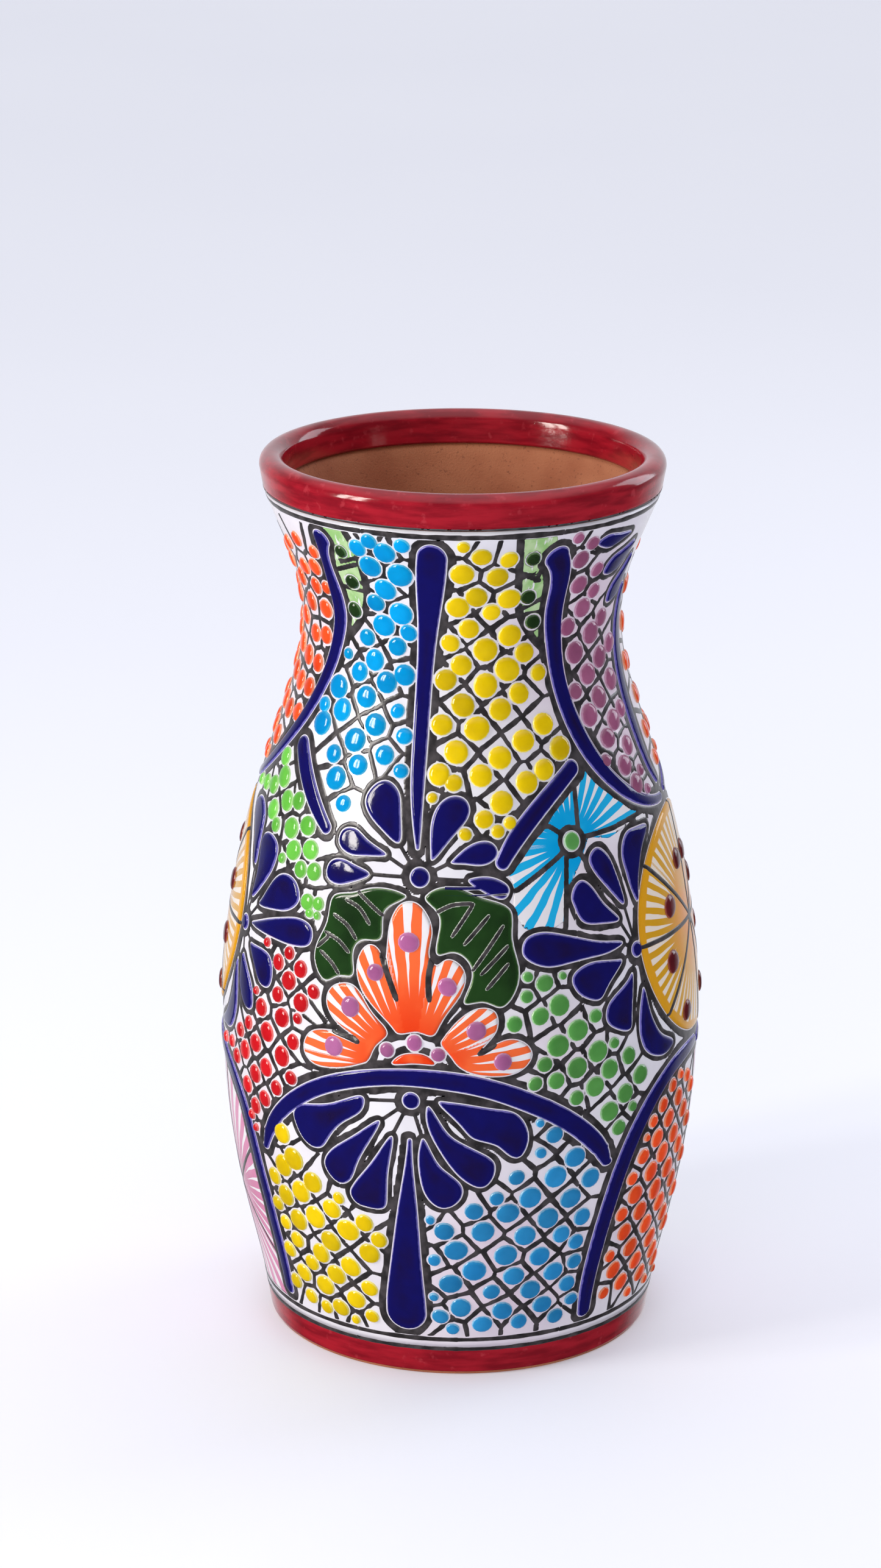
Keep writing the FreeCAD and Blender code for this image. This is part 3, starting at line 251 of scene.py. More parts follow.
COBALT = glaze("cobalt_glaze", linear(26, 14, 52), linear(17, 15, 92), linear(128, 120, 205), 0.08, deep_from=3.4)
LEAF_GREEN = glaze("leaf_green_glaze", linear(20, 40, 18), linear(34, 66, 28), linear(120, 150, 100), 0.1)
EYE_GREEN = glaze("eye_green_glaze", linear(70, 138, 66), linear(96, 160, 84), linear(190, 220, 190), 0.1)
print("glazes so far:", [m.name for m in (COBALT, LEAF_GREEN, EYE_GREEN)])

# %% [markdown]
# ## Turned pieces
# Wall, lip, foot, floor and the glaze that coats them were shaped on a wheel, so each is one
# section spun round the axis. Blender's Screw modifier could do it. A Geometry Nodes tree is
# used instead: it rolls a flat grid into a tube, reads the section's radius and level from a
# curve, and welds the seam and any poles. The same tree then serves every turned piece.

# %% A tree that turns a section on the wheel


def new_tree(name, inputs):
    """A Geometry Nodes tree with one geometry in and out and the named inputs; returns its parts."""
    tree = bpy.data.node_groups.new(name, "GeometryNodeTree")
    tree.interface.new_socket("Geometry", in_out="INPUT", socket_type="NodeSocketGeometry")
    sockets = {}
    for label, kind in inputs.items():
        sockets[label] = tree.interface.new_socket(label, in_out="INPUT", socket_type=kind).identifier
    tree.interface.new_socket("Geometry", in_out="OUTPUT", socket_type="NodeSocketGeometry")
    entry = tree.nodes.new("NodeGroupInput")
    leave = tree.nodes.new("NodeGroupOutput")
    return tree, sockets, entry, leave


def wheel_tree():
    tree, sockets, entry, leave = new_tree("Turned on the wheel", {
        "Steps Round": "NodeSocketInt", "Steps Along": "NodeSocketInt", "Finish": "NodeSocketMaterial"})
    section = node(tree, "GeometryNodeMeshToCurve", Mesh=entry.outputs["Geometry"])
    grid = node(tree, "GeometryNodeMeshGrid", Size_X=1.0, Size_Y=1.0,
                Vertices_X=entry.outputs["Steps Round"], Vertices_Y=entry.outputs["Steps Along"])
    place = node(tree, "ShaderNodeSeparateXYZ", Vector=node(tree, "GeometryNodeInputPosition").outputs[0])
    along = math_node(tree, "ADD", place.outputs["Y"], 0.5)
    turn = math_node(tree, "MULTIPLY", place.outputs["X"], 2 * math.pi)
    sample = node(tree, "GeometryNodeSampleCurve", {"mode": "FACTOR", "use_all_curves": True},
                  Curves=section.outputs[0], Factor=along)
    spot = node(tree, "ShaderNodeSeparateXYZ", Vector=sample.outputs["Position"])
    across = math_node(tree, "MULTIPLY", spot.outputs["X"], math_node(tree, "SINE", turn))
    toward = math_node(tree, "MULTIPLY", spot.outputs["X"], math_node(tree, "COSINE", turn))
    spun = node(tree, "ShaderNodeCombineXYZ", X=across, Y=math_node(tree, "MULTIPLY", toward, -1.0),
                Z=spot.outputs["Z"])
    rolled = node(tree, "GeometryNodeSetPosition", Geometry=grid.outputs["Mesh"], Position=spun.outputs[0])
    welded = node(tree, "GeometryNodeMergeByDistance", Geometry=rolled.outputs[0], Distance=0.000002)
    real = node(tree, "GeometryNodeRealizeInstances", Geometry=welded.outputs[0])
    finished = node(tree, "GeometryNodeSetMaterial", Geometry=real.outputs[0],
                    Material=entry.outputs["Finish"])
    tree.links.new(finished.outputs[0], leave.inputs[0])
    return tree, sockets


WHEEL, WHEEL_SOCKETS = wheel_tree()


def bake_nodes(name, start_mesh, tree, sockets, values):
    """Runs a tree on a mesh and keeps the result as a plain mesh object."""
    worker = bpy.data.objects.new(name + "_worker", start_mesh)
    bpy.context.scene.collection.objects.link(worker)
    modifier = worker.modifiers.new("Nodes", "NODES")
    modifier.node_group = tree
    for label, value in values.items():
        modifier[sockets[label]] = value
    worker.update_tag()
    evaluated = worker.evaluated_get(bpy.context.evaluated_depsgraph_get())
    mesh = bpy.data.meshes.new_from_object(evaluated)
    mesh.name = name
    worker.modifiers.remove(modifier)
    bpy.data.objects.remove(worker)
    piece = bpy.data.objects.new(name, mesh)
    bpy.context.scene.collection.objects.link(piece)
    return piece


def face_outward(piece):
    """Turns the faces of a closed piece outward and shades it smooth."""
    work = bmesh.new()
    work.from_mesh(piece.data)
    if work.calc_volume(signed=True) < 0:
        bmesh.ops.reverse_faces(work, faces=work.faces)
    work.to_mesh(piece.data)
    work.free()
    piece.data.shade_smooth()


def turned(name, section, finish, steps_round=256, steps_along=200):
    """Spins a closed section, a list of (radius, level) in millimetres, into a named piece."""
    points = [(radius * MM, 0.0, level * MM) for radius, level in section]
    mesh = bpy.data.meshes.new(name + "_section")
    links = [(i, i + 1) for i in range(len(points) - 1)]
    mesh.from_pydata(points, links, [])
    values = {"Steps Round": steps_round + 1, "Steps Along": steps_along, "Finish": finish}
    piece = bake_nodes(name, mesh, WHEEL, WHEEL_SOCKETS, values)
    face_outward(piece)
    print("%-20s %6d faces" % (name, len(piece.data.polygons)))
    return piece


# %% [markdown]
# ## Clay and coats
# The bare clay shows in three places: the inside of the vase, the foot's underside and the
# worn edge that stands on the table. It is a warm, dry, slightly sandy red-brown, with the
# rings that the potter's fingers leave. The white glaze over it is the painter's paper: a
# milky glass that reflects the window, with a breath of pink where colour has run into it.

# %% Finishes for clay, white and crimson


def clay_finish():
    material, tree, shader = start_material("terracotta", 0.85, 0.0)
    grain = soft_noise(tree, 1600.0, 4.0)
    patches = soft_noise(tree, 45.0, 3.0)
    colour = blend_colour(tree, smooth_step(tree, patches, 0.3, 0.7),
                          linear(168, 98, 66), linear(190, 122, 86))
    specks = smooth_step(tree, soft_noise(tree, 900.0, 2.0), 0.62, 0.72)
    colour = blend_colour(tree, math_node(tree, "MULTIPLY", specks, 0.5), colour, linear(120, 70, 50))
    tree.links.new(colour, shader.inputs["Base Color"])
    bump = node(tree, "ShaderNodeBump", Strength=0.5, Distance=0.0005, Height=grain)
    tree.links.new(bump.outputs[0], shader.inputs["Normal"])
    return material


def white_finish():
    material, tree, shader = start_material("white_glaze", 0.16, 0.4)
    patches = soft_noise(tree, 60.0, 3.0)
    colour = blend_colour(tree, smooth_step(tree, patches, 0.3, 0.7),
                          linear(236, 235, 240), linear(226, 224, 231))
    blush = math_node(tree, "MULTIPLY", attribute(tree, "blush"), 0.75)
    colour = blend_colour(tree, blush, colour, linear(228, 196, 214))
    tree.links.new(colour, shader.inputs["Base Color"])
    glassy_bump(tree, shader)
    return material


def crimson_finish():
    material, tree, shader = start_material("crimson_glaze", 0.14, 0.35)
    place = node(tree, "ShaderNodeTexCoord").outputs["Object"]
    stretched = node(tree, "ShaderNodeMapping", Vector=place, Scale=(1.0, 1.0, 6.0))
    brushed = soft_noise(tree, 70.0, 4.0, stretched.outputs[0])
    colour = blend_colour(tree, smooth_step(tree, brushed, 0.32, 0.68),
                          linear(132, 14, 30), linear(170, 26, 42))
    thin = smooth_step(tree, soft_noise(tree, 300.0, 3.0), 0.6, 0.75)
    colour = blend_colour(tree, math_node(tree, "MULTIPLY", thin, 0.35), colour, linear(200, 70, 80))
    tree.links.new(colour, shader.inputs["Base Color"])
    glassy_bump(tree, shader)
    return material


CLAY = clay_finish()
WHITE = white_finish()
CRIMSON = crimson_finish()

# %% Turn the clay and its coats
levels = np.linspace(WALL_FOOT, WALL_MOUTH, 120)
rings = 0.16 * np.sin(levels * 0.85) + 0.1 * np.sin(levels * 0.31)
wall_face = list(zip(clay_radius(levels), levels))
wall_back = list(zip(clay_radius(levels) - WALL_THICKNESS + rings, levels))
coat_face = list(zip(clay_radius(levels) + COAT, levels))

clay_wall = turned("thrown_wall", wall_face + wall_back[::-1] + wall_face[:1], CLAY, 144, 200)
white_coat = turned("white_ground", coat_face + wall_face[::-1] + coat_face[:1], WHITE, 240, 200)


def lip_section(grow):
    """The rim's outside, round top and inside, grown by a thickness."""
    centre = (LIP_OUTER + LIP_INNER) / 2
    half = (LIP_OUTER - LIP_INNER) / 2 + grow
    arc = [(centre + half * math.cos(turn), LIP_LEVEL + half * math.sin(turn))
           for turn in np.linspace(0, math.pi, 15)]
    foot_out = (WALL_RADII[-1] + grow, WALL_MOUTH)
    foot_in = (WALL_RADII[-1] - WALL_THICKNESS - grow, WALL_MOUTH)
    return [foot_out] + arc + [foot_in]


rim_clay = lip_section(0.0)
rim_skin = lip_section(COAT)
lip = turned("rolled_lip", rim_clay + rim_clay[:1], CLAY, 192, 60)
rim_band = turned("crimson_rim", rim_skin + rim_clay[::-1] + rim_skin[:1], CRIMSON, 192, 80)

foot_inner, ledge, recess, worn, bare = 50.0, 57.0, 4.0, 0.8, 1.2
foot = turned("foot_ring_clay", [
    (foot_inner + worn, 0), (FOOT_RADIUS - worn, 0), (FOOT_RADIUS - 0.2, 0.25), (FOOT_RADIUS, worn),
    (WALL_RADII[0], WALL_FOOT), (ledge, WALL_FOOT), (ledge, recess), (foot_inner, recess),
    (foot_inner, worn), (foot_inner + 0.2, 0.25), (foot_inner + worn, 0)], CLAY, 144, 80)
foot_start = FOOT_RADIUS + (WALL_RADII[0] - FOOT_RADIUS) * (bare - worn) / (WALL_FOOT - worn)
foot_band = turned("crimson_foot", [
    (foot_start, bare), (foot_start + 0.45, bare + 0.1), (foot_start + COAT, bare + 0.6),
    (WALL_RADII[0] + COAT, WALL_FOOT), (WALL_RADII[0], WALL_FOOT), (foot_start, bare)], CRIMSON, 256, 40)
floor_disc = turned("floor_clay", [
    (0, WALL_FOOT), (ledge * 0.6, WALL_FOOT - 0.3), (ledge, WALL_FOOT), (ledge, recess), (0, recess),
    ], CLAY, 128, 60)

# %% [markdown]
# The white is not the same white all over. On the right of the front it takes a pink blush
# from the mauve and red colours beside it. The blush is stored on the mesh as an attribute:
# a few soft round clouds, painted on both halves of the vase because the painting repeats.

# %% A blush on the white
BLUSH = [(54, 250, 34, 0.9), (62, 215, 26, 0.8), (12, 42, 34, 0.8), (60, 60, 34, 0.7), (-80, 60, 36, 1.0),
         (38, 170, 22, 0.5), (24, 120, 22, 0.4), (-70, 260, 30, 0.5)]
TURNS = (0.0, 180.0)


def store(mesh, name, values, domain="POINT"):
    layer = mesh.attributes.new(name, "FLOAT", domain)
    layer.data.foreach_set("value", np.ascontiguousarray(values, dtype=np.float32))


def points_of(mesh):
    points = np.empty(len(mesh.vertices) * 3)
    mesh.vertices.foreach_get("co", points)
    return points.reshape(-1, 3) / MM


def angle_apart(first, second):
    return (first - second + 180.0) % 360.0 - 180.0


spots = points_of(white_coat.data)
spot_angle = np.degrees(np.arctan2(spots[:, 0], -spots[:, 1]))
blush = np.zeros(len(spots))
for turn in TURNS:
    for angle, level, reach, strength in BLUSH:
        across = angle_apart(spot_angle, angle + turn) * math.radians(1) * clay_radius(spots[:, 2])
        blush = np.maximum(blush, strength * np.exp(-(across ** 2 + (spots[:, 2] - level) ** 2) / reach ** 2))
store(white_coat.data, "blush", blush)

# %% [markdown]
# ## Reading the pads from the frame
# A pad of glaze follows a brush stroke, so its edge is a free curve. The frame already holds
# each pad as a plain raised plateau, which is too sharp for melted glaze but has the right
# outline. The next cell takes the plateau's rim from the frame as short lines on the map of
# the wall. From those lines a distance can be measured: how far inside or outside the pad a
# place is. That one number then shapes everything: the pad's rounded edge, its thin rim, the
# white line left round it and the charcoal line outside that.

# %% Separate solids of a CAD node


def welded(mesh):
    """Points in millimetres and triangles, with the loose triangles' corners joined."""
    mesh.calc_loop_triangles()
    corners = np.empty(len(mesh.loop_triangles) * 3, dtype=np.int64)
    mesh.loop_triangles.foreach_get("vertices", corners)
    points = points_of(mesh)
    _, first, same = np.unique(np.round(points, 3), axis=0, return_index=True, return_inverse=True)
    return points[first], same.reshape(-1)[corners].reshape(-1, 3)


def islands(name):
    """The node's solids, each as its points and its triangles."""
    points, triangles = welded(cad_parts[name].data)
    label = np.arange(len(points))
    while True:
        lowest = label[triangles].min(axis=1)
        fresh = label.copy()
        for corner in range(3):
            np.minimum.at(fresh, triangles[:, corner], lowest)
        fresh = fresh[fresh]
        if (fresh == label).all():
            break
        label = fresh
    parts = []
    owner = label[triangles[:, 0]]
    for which in np.unique(owner):
        own = triangles[owner == which]
        used, local = np.unique(own, return_inverse=True)
        parts.append((points[used], local.reshape(-1, 3)))
    return parts


def on_map(points):
    """Angle and level of points, and their distance outward from the white glaze."""
    mean = points.mean(axis=0)
    middle = math.degrees(math.atan2(mean[0], -mean[1]))
    angle = np.degrees(np.arctan2(points[:, 0], -points[:, 1]))
    angle = middle + angle_apart(angle, middle)
    off = np.hypot(points[:, 0], points[:, 1]) - clay_radius(points[:, 2]) - COAT
    return angle, points[:, 2], off


def rim_lines(points, triangles):
    """The plateau's rim as lines on the map: rows of angle, level, angle, level."""
    angle, level, off = on_map(points)
    top = triangles[(off[triangles] > 0.35).all(axis=1)]
    edges = np.sort(np.concatenate([top[:, [0, 1]], top[:, [1, 2]], top[:, [2, 0]]]), axis=1)
    edges, uses = np.unique(edges, axis=0, return_counts=True)
    rim = edges[uses == 1]
    return np.stack([angle[rim[:, 0]], level[rim[:, 0]], angle[rim[:, 1]], level[rim[:, 1]]], axis=1)


# %% [markdown]
# The map is a fine grid, a place every 0.4 degrees and every half millimetre. Distances on it
# are measured in millimetres over the wall, with the wall's own radius and slope at each level.

# %% The map and distances on it
STEP_ROUND = 0.4
STEP_UP = 0.5
COLUMNS = round(360 / STEP_ROUND)
LEVELS = np.arange(9.0, 295.01, STEP_UP)


class Window:
    """A rectangle of the map: column numbers, row numbers, and the angle and level of each place."""

    def __init__(self, low_angle, high_angle, low_level, high_level):
        self.columns = np.arange(math.floor(low_angle / STEP_ROUND), math.ceil(high_angle / STEP_ROUND) + 1)
        first = max(math.floor((low_level - LEVELS[0]) / STEP_UP), 0)
        last = min(math.ceil((high_level - LEVELS[0]) / STEP_UP), len(LEVELS) - 1)
        self.rows = np.arange(first, last + 1)
        self.angle, self.level = np.meshgrid(self.columns * STEP_ROUND, LEVELS[self.rows])
        self.degree = math.radians(1) * (clay_radius(self.level) + COAT)
        self.climb = 1 / outward_parts(self.level)[0]
        self.cells = np.ix_(self.rows, self.columns % COLUMNS)


def line_distance(window, lines, widths=None):
    """Distance from each place to the nearest line, less the line's half width if it has one."""
    best = np.full(window.angle.shape, 1e6)
    for number, (angle0, level0, angle1, level1) in enumerate(lines):
        ax = (angle0 - window.angle) * window.degree
        ay = (level0 - window.level) * window.climb
        dx = (angle1 - angle0) * window.degree
        dy = (level1 - level0) * window.climb
        share = np.clip(-(ax * dx + ay * dy) / (dx * dx + dy * dy + 1e-9), 0, 1)
        away = np.hypot(ax + share * dx, ay + share * dy)
        if widths is not None:
            away = away - (widths[number][0] * (1 - share) + widths[number][1] * share)
        best = np.minimum(best, away)
    return best


def inside_lines(window, lines):
    """True where a place lies inside the closed rim that the lines make."""
    odd = np.zeros(window.angle.shape, dtype=bool)
    for angle0, level0, angle1, level1 in lines:
        if level0 != level1:
            crosses = (level0 > window.level) != (level1 > window.level)
            at = angle0 + (window.level - level0) * (angle1 - angle0) / (level1 - level0)
            odd ^= crosses & (window.angle < at)
    return odd


def signed_distance(window, lines):
    """Millimetres to the rim, negative inside."""
    away = line_distance(window, lines)
    return np.where(inside_lines(window, lines), -away, away)


# %% [markdown]
# ## Cutting shapes out of the map
# `cut_out` is the one tool that turns a painted shape into a mesh. It keeps each cell of the
# map where a field is below zero and trims the cells that the edge runs through, so the edge
# is smooth although the grid is square. Strokes that meet run together into one skin, as wet
# colour does, which separate swept tubes would not do. Every shape gets an underside sunk
# into the white, so it is a closed solid.

# %% Cut a shape out of the map


def cut_out(field, layers):
    """Corner data and faces of the part of a grid where field < 0; layers are grids to carry along."""
    rows, columns = field.shape
    values = field.reshape(-1)
    data = np.stack([layer.reshape(-1) for layer in layers] + [values], axis=1)
    number = np.arange(rows * columns).reshape(rows, columns)
    cells = np.stack([number[:-1, :-1], number[:-1, 1:], number[1:, 1:], number[1:, :-1]], axis=-1)
    cells = cells.reshape(-1, 4)
    kept = values[cells] < 0
    whole = cells[kept.all(axis=1)]
    mixed = cells[kept.any(axis=1) & ~kept.all(axis=1)]
    halves = np.concatenate([mixed[:, [0, 1, 2]], mixed[:, [0, 2, 3]]])
    count = (values[halves] < 0).sum(axis=1)
    triangles = [halves[count == 3]]

    def turned_first(rows_of, wanted):
        """Turns each triangle so that its odd corner comes first."""
        lead = ((values[rows_of] < 0) == wanted).argmax(axis=1)
        return np.take_along_axis(rows_of, (lead[:, None] + np.arange(3)) % 3, axis=1)

    single = turned_first(halves[count == 1], True)
    double = turned_first(halves[count == 2], False)
    crossings = [single[:, [0, 1]], single[:, [0, 2]], double[:, [0, 1]], double[:, [0, 2]]]
    pairs = np.sort(np.concatenate(crossings), axis=1)
    unique, place = np.unique(pairs, axis=0, return_inverse=True)
    place = place.reshape(-1) + len(values)
    sizes = np.cumsum([len(c) for c in crossings])[:-1]
    p01, p02, q01, q02 = np.split(place, sizes)
    share = values[unique[:, 0]] / (values[unique[:, 0]] - values[unique[:, 1]])
    share = share[:, None]
    fresh = data[unique[:, 0]] * (1 - share) + data[unique[:, 1]] * share
    data = np.concatenate([data, fresh])
    triangles.append(np.stack([single[:, 0], p01, p02], axis=1))
    quads = [whole, np.stack([q01, double[:, 1], double[:, 2], q02], axis=1)]
    return data, np.concatenate(triangles), np.concatenate(quads)


def layer_of_glaze(name, parts, top, finish, sunk=0.25, **attributes):
    """A closed piece from cut-out parts: top(data) is its height, and its underside is sunk in the white.

    A part's data has an angle, a level, what the grids carried, and the field, which is 0 at its edge."""
    corners, faces, columns = [], [], {label: [] for label in attributes}
    start = 0
    for data, triangles, quads in parts:
        both = np.concatenate([triangles.reshape(-1), quads.reshape(-1)])
        used, local = np.unique(both, return_inverse=True)
        data = data[used]
        local = local.reshape(-1)
        inner = np.abs(data[:, -1]) > 1e-9
        twin = np.arange(len(data))
        twin[inner] = len(data) + np.arange(inner.sum())
        under = data[inner]
        corners.append(on_wall(data[:, 0], data[:, 1], top(data)))
        corners.append(on_wall(under[:, 0], under[:, 1], -sunk * np.minimum(-under[:, -1], 1.0)))
        for label, rule in attributes.items():
            columns[label].append(rule(data))
            columns[label].append(rule(under))
        for faces_of in (local[:triangles.size].reshape(-1, 3), local[triangles.size:].reshape(-1, 4)):
            faces.extend((faces_of + start).tolist())
            faces.extend((twin[faces_of][:, ::-1] + start).tolist())
        start += len(data) + len(under)
    mesh = bpy.data.meshes.new(name)
    mesh.from_pydata(np.concatenate(corners).tolist(), [], faces)
    for label, values in columns.items():
        store(mesh, label, np.concatenate(values))
    work = bmesh.new()
    work.from_mesh(mesh)
    bmesh.ops.remove_doubles(work, verts=work.verts, dist=0.05 * MM)
    work.to_mesh(mesh)
    work.free()
    mesh.shade_smooth()
    mesh.materials.append(finish)
    piece = bpy.data.objects.new(name, mesh)
    bpy.context.scene.collection.objects.link(piece)
    mesh.calc_loop_triangles()
    print("%-20s %6d triangles" % (name, len(mesh.loop_triangles)))
    return piece


def edge_depth(data):
    return -data[:, -1]


# %% [markdown]
# ## Pads
# Melted glaze pulls itself into a low pillow: it leaves the white steeply, rounds over within
# about a millimetre and then stays nearly level, a little uneven where the brush went. The
# pads' heights follow that rule from the distance to the rim, so a thin stem and a broad
# leaf get the same rounded edge.

# %% Height of a pad
PAD_HEIGHT = 0.62
PAD_EDGE = 1.15
rng = np.random.default_rng(12)
WAVES = [(rng.uniform(0.05, 0.45), rng.uniform(0, math.pi), rng.uniform(0, 2 * math.pi)) for _ in range(10)]


def unevenness(angle, level):
    """A slow wandering value between about -1 and 1 over the wall."""
    total = 0.0
    for pace, heading, start in WAVES:
        across = angle * 1.3 * math.cos(heading) + level * math.sin(heading)
        total = total + np.sin(across * pace + start)
    return total / 4.0


def pad_height(depth, angle, level):
    share = np.clip(depth / PAD_EDGE, 0, 1)
    round_over = np.sqrt(1 - (1 - share) ** 2)
    crown = 0.14 * (1 - np.exp(-depth / 3.0)) + 0.05 * unevenness(angle, level) * share
    return PAD_HEIGHT * round_over + crown


def pad_top(data):
    return pad_height(-data[:, -1], data[:, 0], data[:, 1])


# %% Measure every pad on the map
PADS = {
    "upper_stems": COBALT, "slanted_bars": COBALT, "shoulder_ribs": COBALT, "side_ribs": COBALT,
    "arch_bands": COBALT, "lower_stems": COBALT, "lower_ribs": COBALT, "upper_fan_petals": COBALT,
    "lower_fan_petals": COBALT, "side_fan_petals": COBALT, "neck_fan_petals": COBALT, "fan_hubs": COBALT,
    "leaves": LEAF_GREEN, "coral_flowers": None, "flower_hearts": None, "side_medallions": None,
    "turquoise_flower_eyes": EYE_GREEN,
}
OUTLINE_WIDTH = {"upper_fan_petals": 1.7, "lower_fan_petals": 1.75, "side_fan_petals": 1.8, "neck_fan_petals": 1.8,
                 "coral_flowers": 1.9, "leaves": 1.7, "turquoise_flower_eyes": 2.2}
REACH = 5.0
pad_distance = np.full((len(LEVELS), COLUMNS), REACH)
pad_outline = np.full(pad_distance.shape, 2.5)
pad_maps = {}
pad_rims = {}
for name in PADS:
    pad_maps[name] = []
    pad_rims[name] = []
    for points, triangles in islands(name):
        lines = rim_lines(points, triangles)
        angles = lines[:, [0, 2]]
        heights = lines[:, [1, 3]]
        margin = REACH / 0.85
        window = Window(angles.min() - margin, angles.max() + margin, heights.min() - REACH, heights.max() + REACH)
        distance = signed_distance(window, lines)
        pad_maps[name].append((window, distance))
        pad_rims[name].append(lines)
        closer = distance < pad_distance[window.cells]
        pad_outline[window.cells] = np.where(closer, OUTLINE_WIDTH.get(name, 2.5), pad_outline[window.cells])
        pad_distance[window.cells] = np.minimum(pad_distance[window.cells], distance)
print("pads measured:", sum(len(maps) for maps in pad_maps.values()))

# %% [markdown]
# Three kinds of pad are not one flat colour. The coral flower, its heart and the gold side
# medallions are brushed outward from a centre: solid colour near it, then the brush runs dry
# and the white shows between the hairs as wedges that widen to the tip. Each point of such a
# pad carries two numbers, `ray_side` for its place across a lobe and `ray_out` for its share
# of the way out, and the finish draws the strokes from them.

# %% A finish with brushed rays


def brushed(name, body, deep, ground, rays, start, full, most=0.5, rim=None, rim_from=2.0):
    """Colour laid on in strokes that run outward, with wedges of the ground between them."""
    material, tree, shader = start_material(name, 0.12)
    side = attribute(tree, "ray_side")
    out = attribute(tree, "ray_out")
    depth = attribute(tree, "depth")
    wander = math_node(tree, "MULTIPLY", math_node(tree, "SUBTRACT", soft_noise(tree, 120.0, 1.0), 0.5), 1.6)
    phase = math_node(tree, "ADD", math_node(tree, "MULTIPLY", side, rays * math.pi), wander)
    wave = math_node(tree, "MULTIPLY", math_node(tree, "COSINE", phase), 0.5)
    wave = math_node(tree, "ADD", wave, 0.5)
    uneven_out = math_node(tree, "ADD", out, math_node(tree, "MULTIPLY", wander, 0.12))
    spread = node(tree, "ShaderNodeMapRange", {"clamp": True}, Value=uneven_out, From_Min=start, From_Max=full,
                  To_Min=-0.08, To_Max=most).outputs[0]
    edge = math_node(tree, "SUBTRACT", wave, math_node(tree, "SUBTRACT", 1.0, spread))
    open_ground = smooth_step(tree, edge, -0.02, 0.06)
    pooled = math_node(tree, "MULTIPLY", smooth_step(tree, out, 0.75, 0.15),
                       smooth_step(tree, soft_noise(tree, 110.0, 2.0), 0.15, 0.6))
    paint = blend_colour(tree, pooled, body, deep)
    colour = blend_colour(tree, open_ground, paint, ground)
    if rim is not None:
        near_edge = smooth_step(tree, math_node(tree, "ADD", depth, wander), rim_from + 0.3, rim_from - 0.3)
        colour = blend_colour(tree, near_edge, colour, rim)
    tree.links.new(colour, shader.inputs["Base Color"])
    glassy_bump(tree, shader)
    return material


GROUND_WHITE = linear(236, 233, 236)
CORAL = brushed("coral_glaze", linear(246, 108, 56), linear(234, 60, 14), GROUND_WHITE, 3.2, 0.40, 1.0)
GOLD = brushed("gold_glaze", linear(214, 158, 28), linear(228, 140, 26), linear(238, 224, 208), 6.6, 0.42, 0.9,
               rim=linear(222, 158, 26), rim_from=3.0)

# %% Where a point lies in its ray
FLOWER_ROOT = (-11.0, 117.0)
LOBE_TIPS = [(-39.5, 117.5), (-31.0, 140.5), (-23.4, 155.0), (-13.6, 170.8), (-1.0, 152.2), (7.0, 136.0),
             (16.9, 120.0)]
LOBE_HALF = 0.21
MEDALLION = (79.5, 147.4, 39.0)
SECTORS = 8


def from_centre(angle, level, centre_angle, centre_level):
    """Bearing (0 to the right, rising upward) and distance of places from a centre."""
    across = (angle - centre_angle) * math.radians(1) * (clay_radius(level) + COAT)
    rise = level - centre_level
    return np.arctan2(rise, across), np.hypot(across, rise)


def coral_ray(data):
    """Side and share of each point in its lobe of the coral flower."""
    near_front = np.where(np.abs(angle_apart(data[:, 0], FLOWER_ROOT[0])) < 90, 0.0, 180.0)
    angle = FLOWER_ROOT[0] + angle_apart(data[:, 0], FLOWER_ROOT[0] + near_front)
    bearing, distance = from_centre(angle, data[:, 1], *FLOWER_ROOT)
    side = np.zeros(len(data))
    share = np.zeros(len(data))
    closest = np.full(len(data), 9.0)
    for tip in LOBE_TIPS:
        axis, length = from_centre(np.array(tip[0]), np.array(tip[1]), *FLOWER_ROOT)
        apart = bearing - axis
        better = np.abs(apart) < closest
        side[better] = apart[better] / LOBE_HALF
        share[better] = distance[better] / length
        closest[better] = np.abs(apart)[better]
    return side, share


def medallion_ray(data):
    """Side and share of each point in its sector of a side medallion."""
    near_first = np.where(np.abs(angle_apart(data[:, 0], MEDALLION[0])) < 90, 0.0, 180.0)
    angle = MEDALLION[0] + angle_apart(data[:, 0], MEDALLION[0] + near_first)
    bearing, distance = from_centre(angle, data[:, 1], MEDALLION[0], MEDALLION[1])
    slice_of = 2 * math.pi / SECTORS
    side = ((bearing / slice_of) % 1.0 - 0.5) * 2
    return side, distance / MEDALLION[2]


# %% Lay the pads
FINISHES = dict(PADS, coral_flowers=CORAL, flower_hearts=CORAL, side_medallions=GOLD)
RAYS = {"coral_flowers": coral_ray, "flower_hearts": coral_ray, "side_medallions": medallion_ray}
pieces = {}
for name, maps in pad_maps.items():
    parts = [cut_out(distance, [window.angle, window.level]) for window, distance in maps]
    extra = {}
    if name in RAYS:
        rule = RAYS[name]
        extra = {"ray_side": lambda data, rule=rule: rule(data)[0],
                 "ray_out": lambda data, rule=rule: rule(data)[1]}
    pieces[name] = layer_of_glaze(name + "_pads", parts, pad_top, FINISHES[name], depth=edge_depth, **extra)

# %% [markdown]
# ## Beads
# Between the lines of the nets the painter sets single drops of glaze with the tip of the
# brush. They are hundreds of nearly equal beads, so a Geometry Nodes tree copies one small
# drop to points on the wall. Each point brings the drop's radius and the direction that it
# faces; a fixed seed makes each drop a little oval, turned its own way and slightly lighter
# or darker than its neighbours.

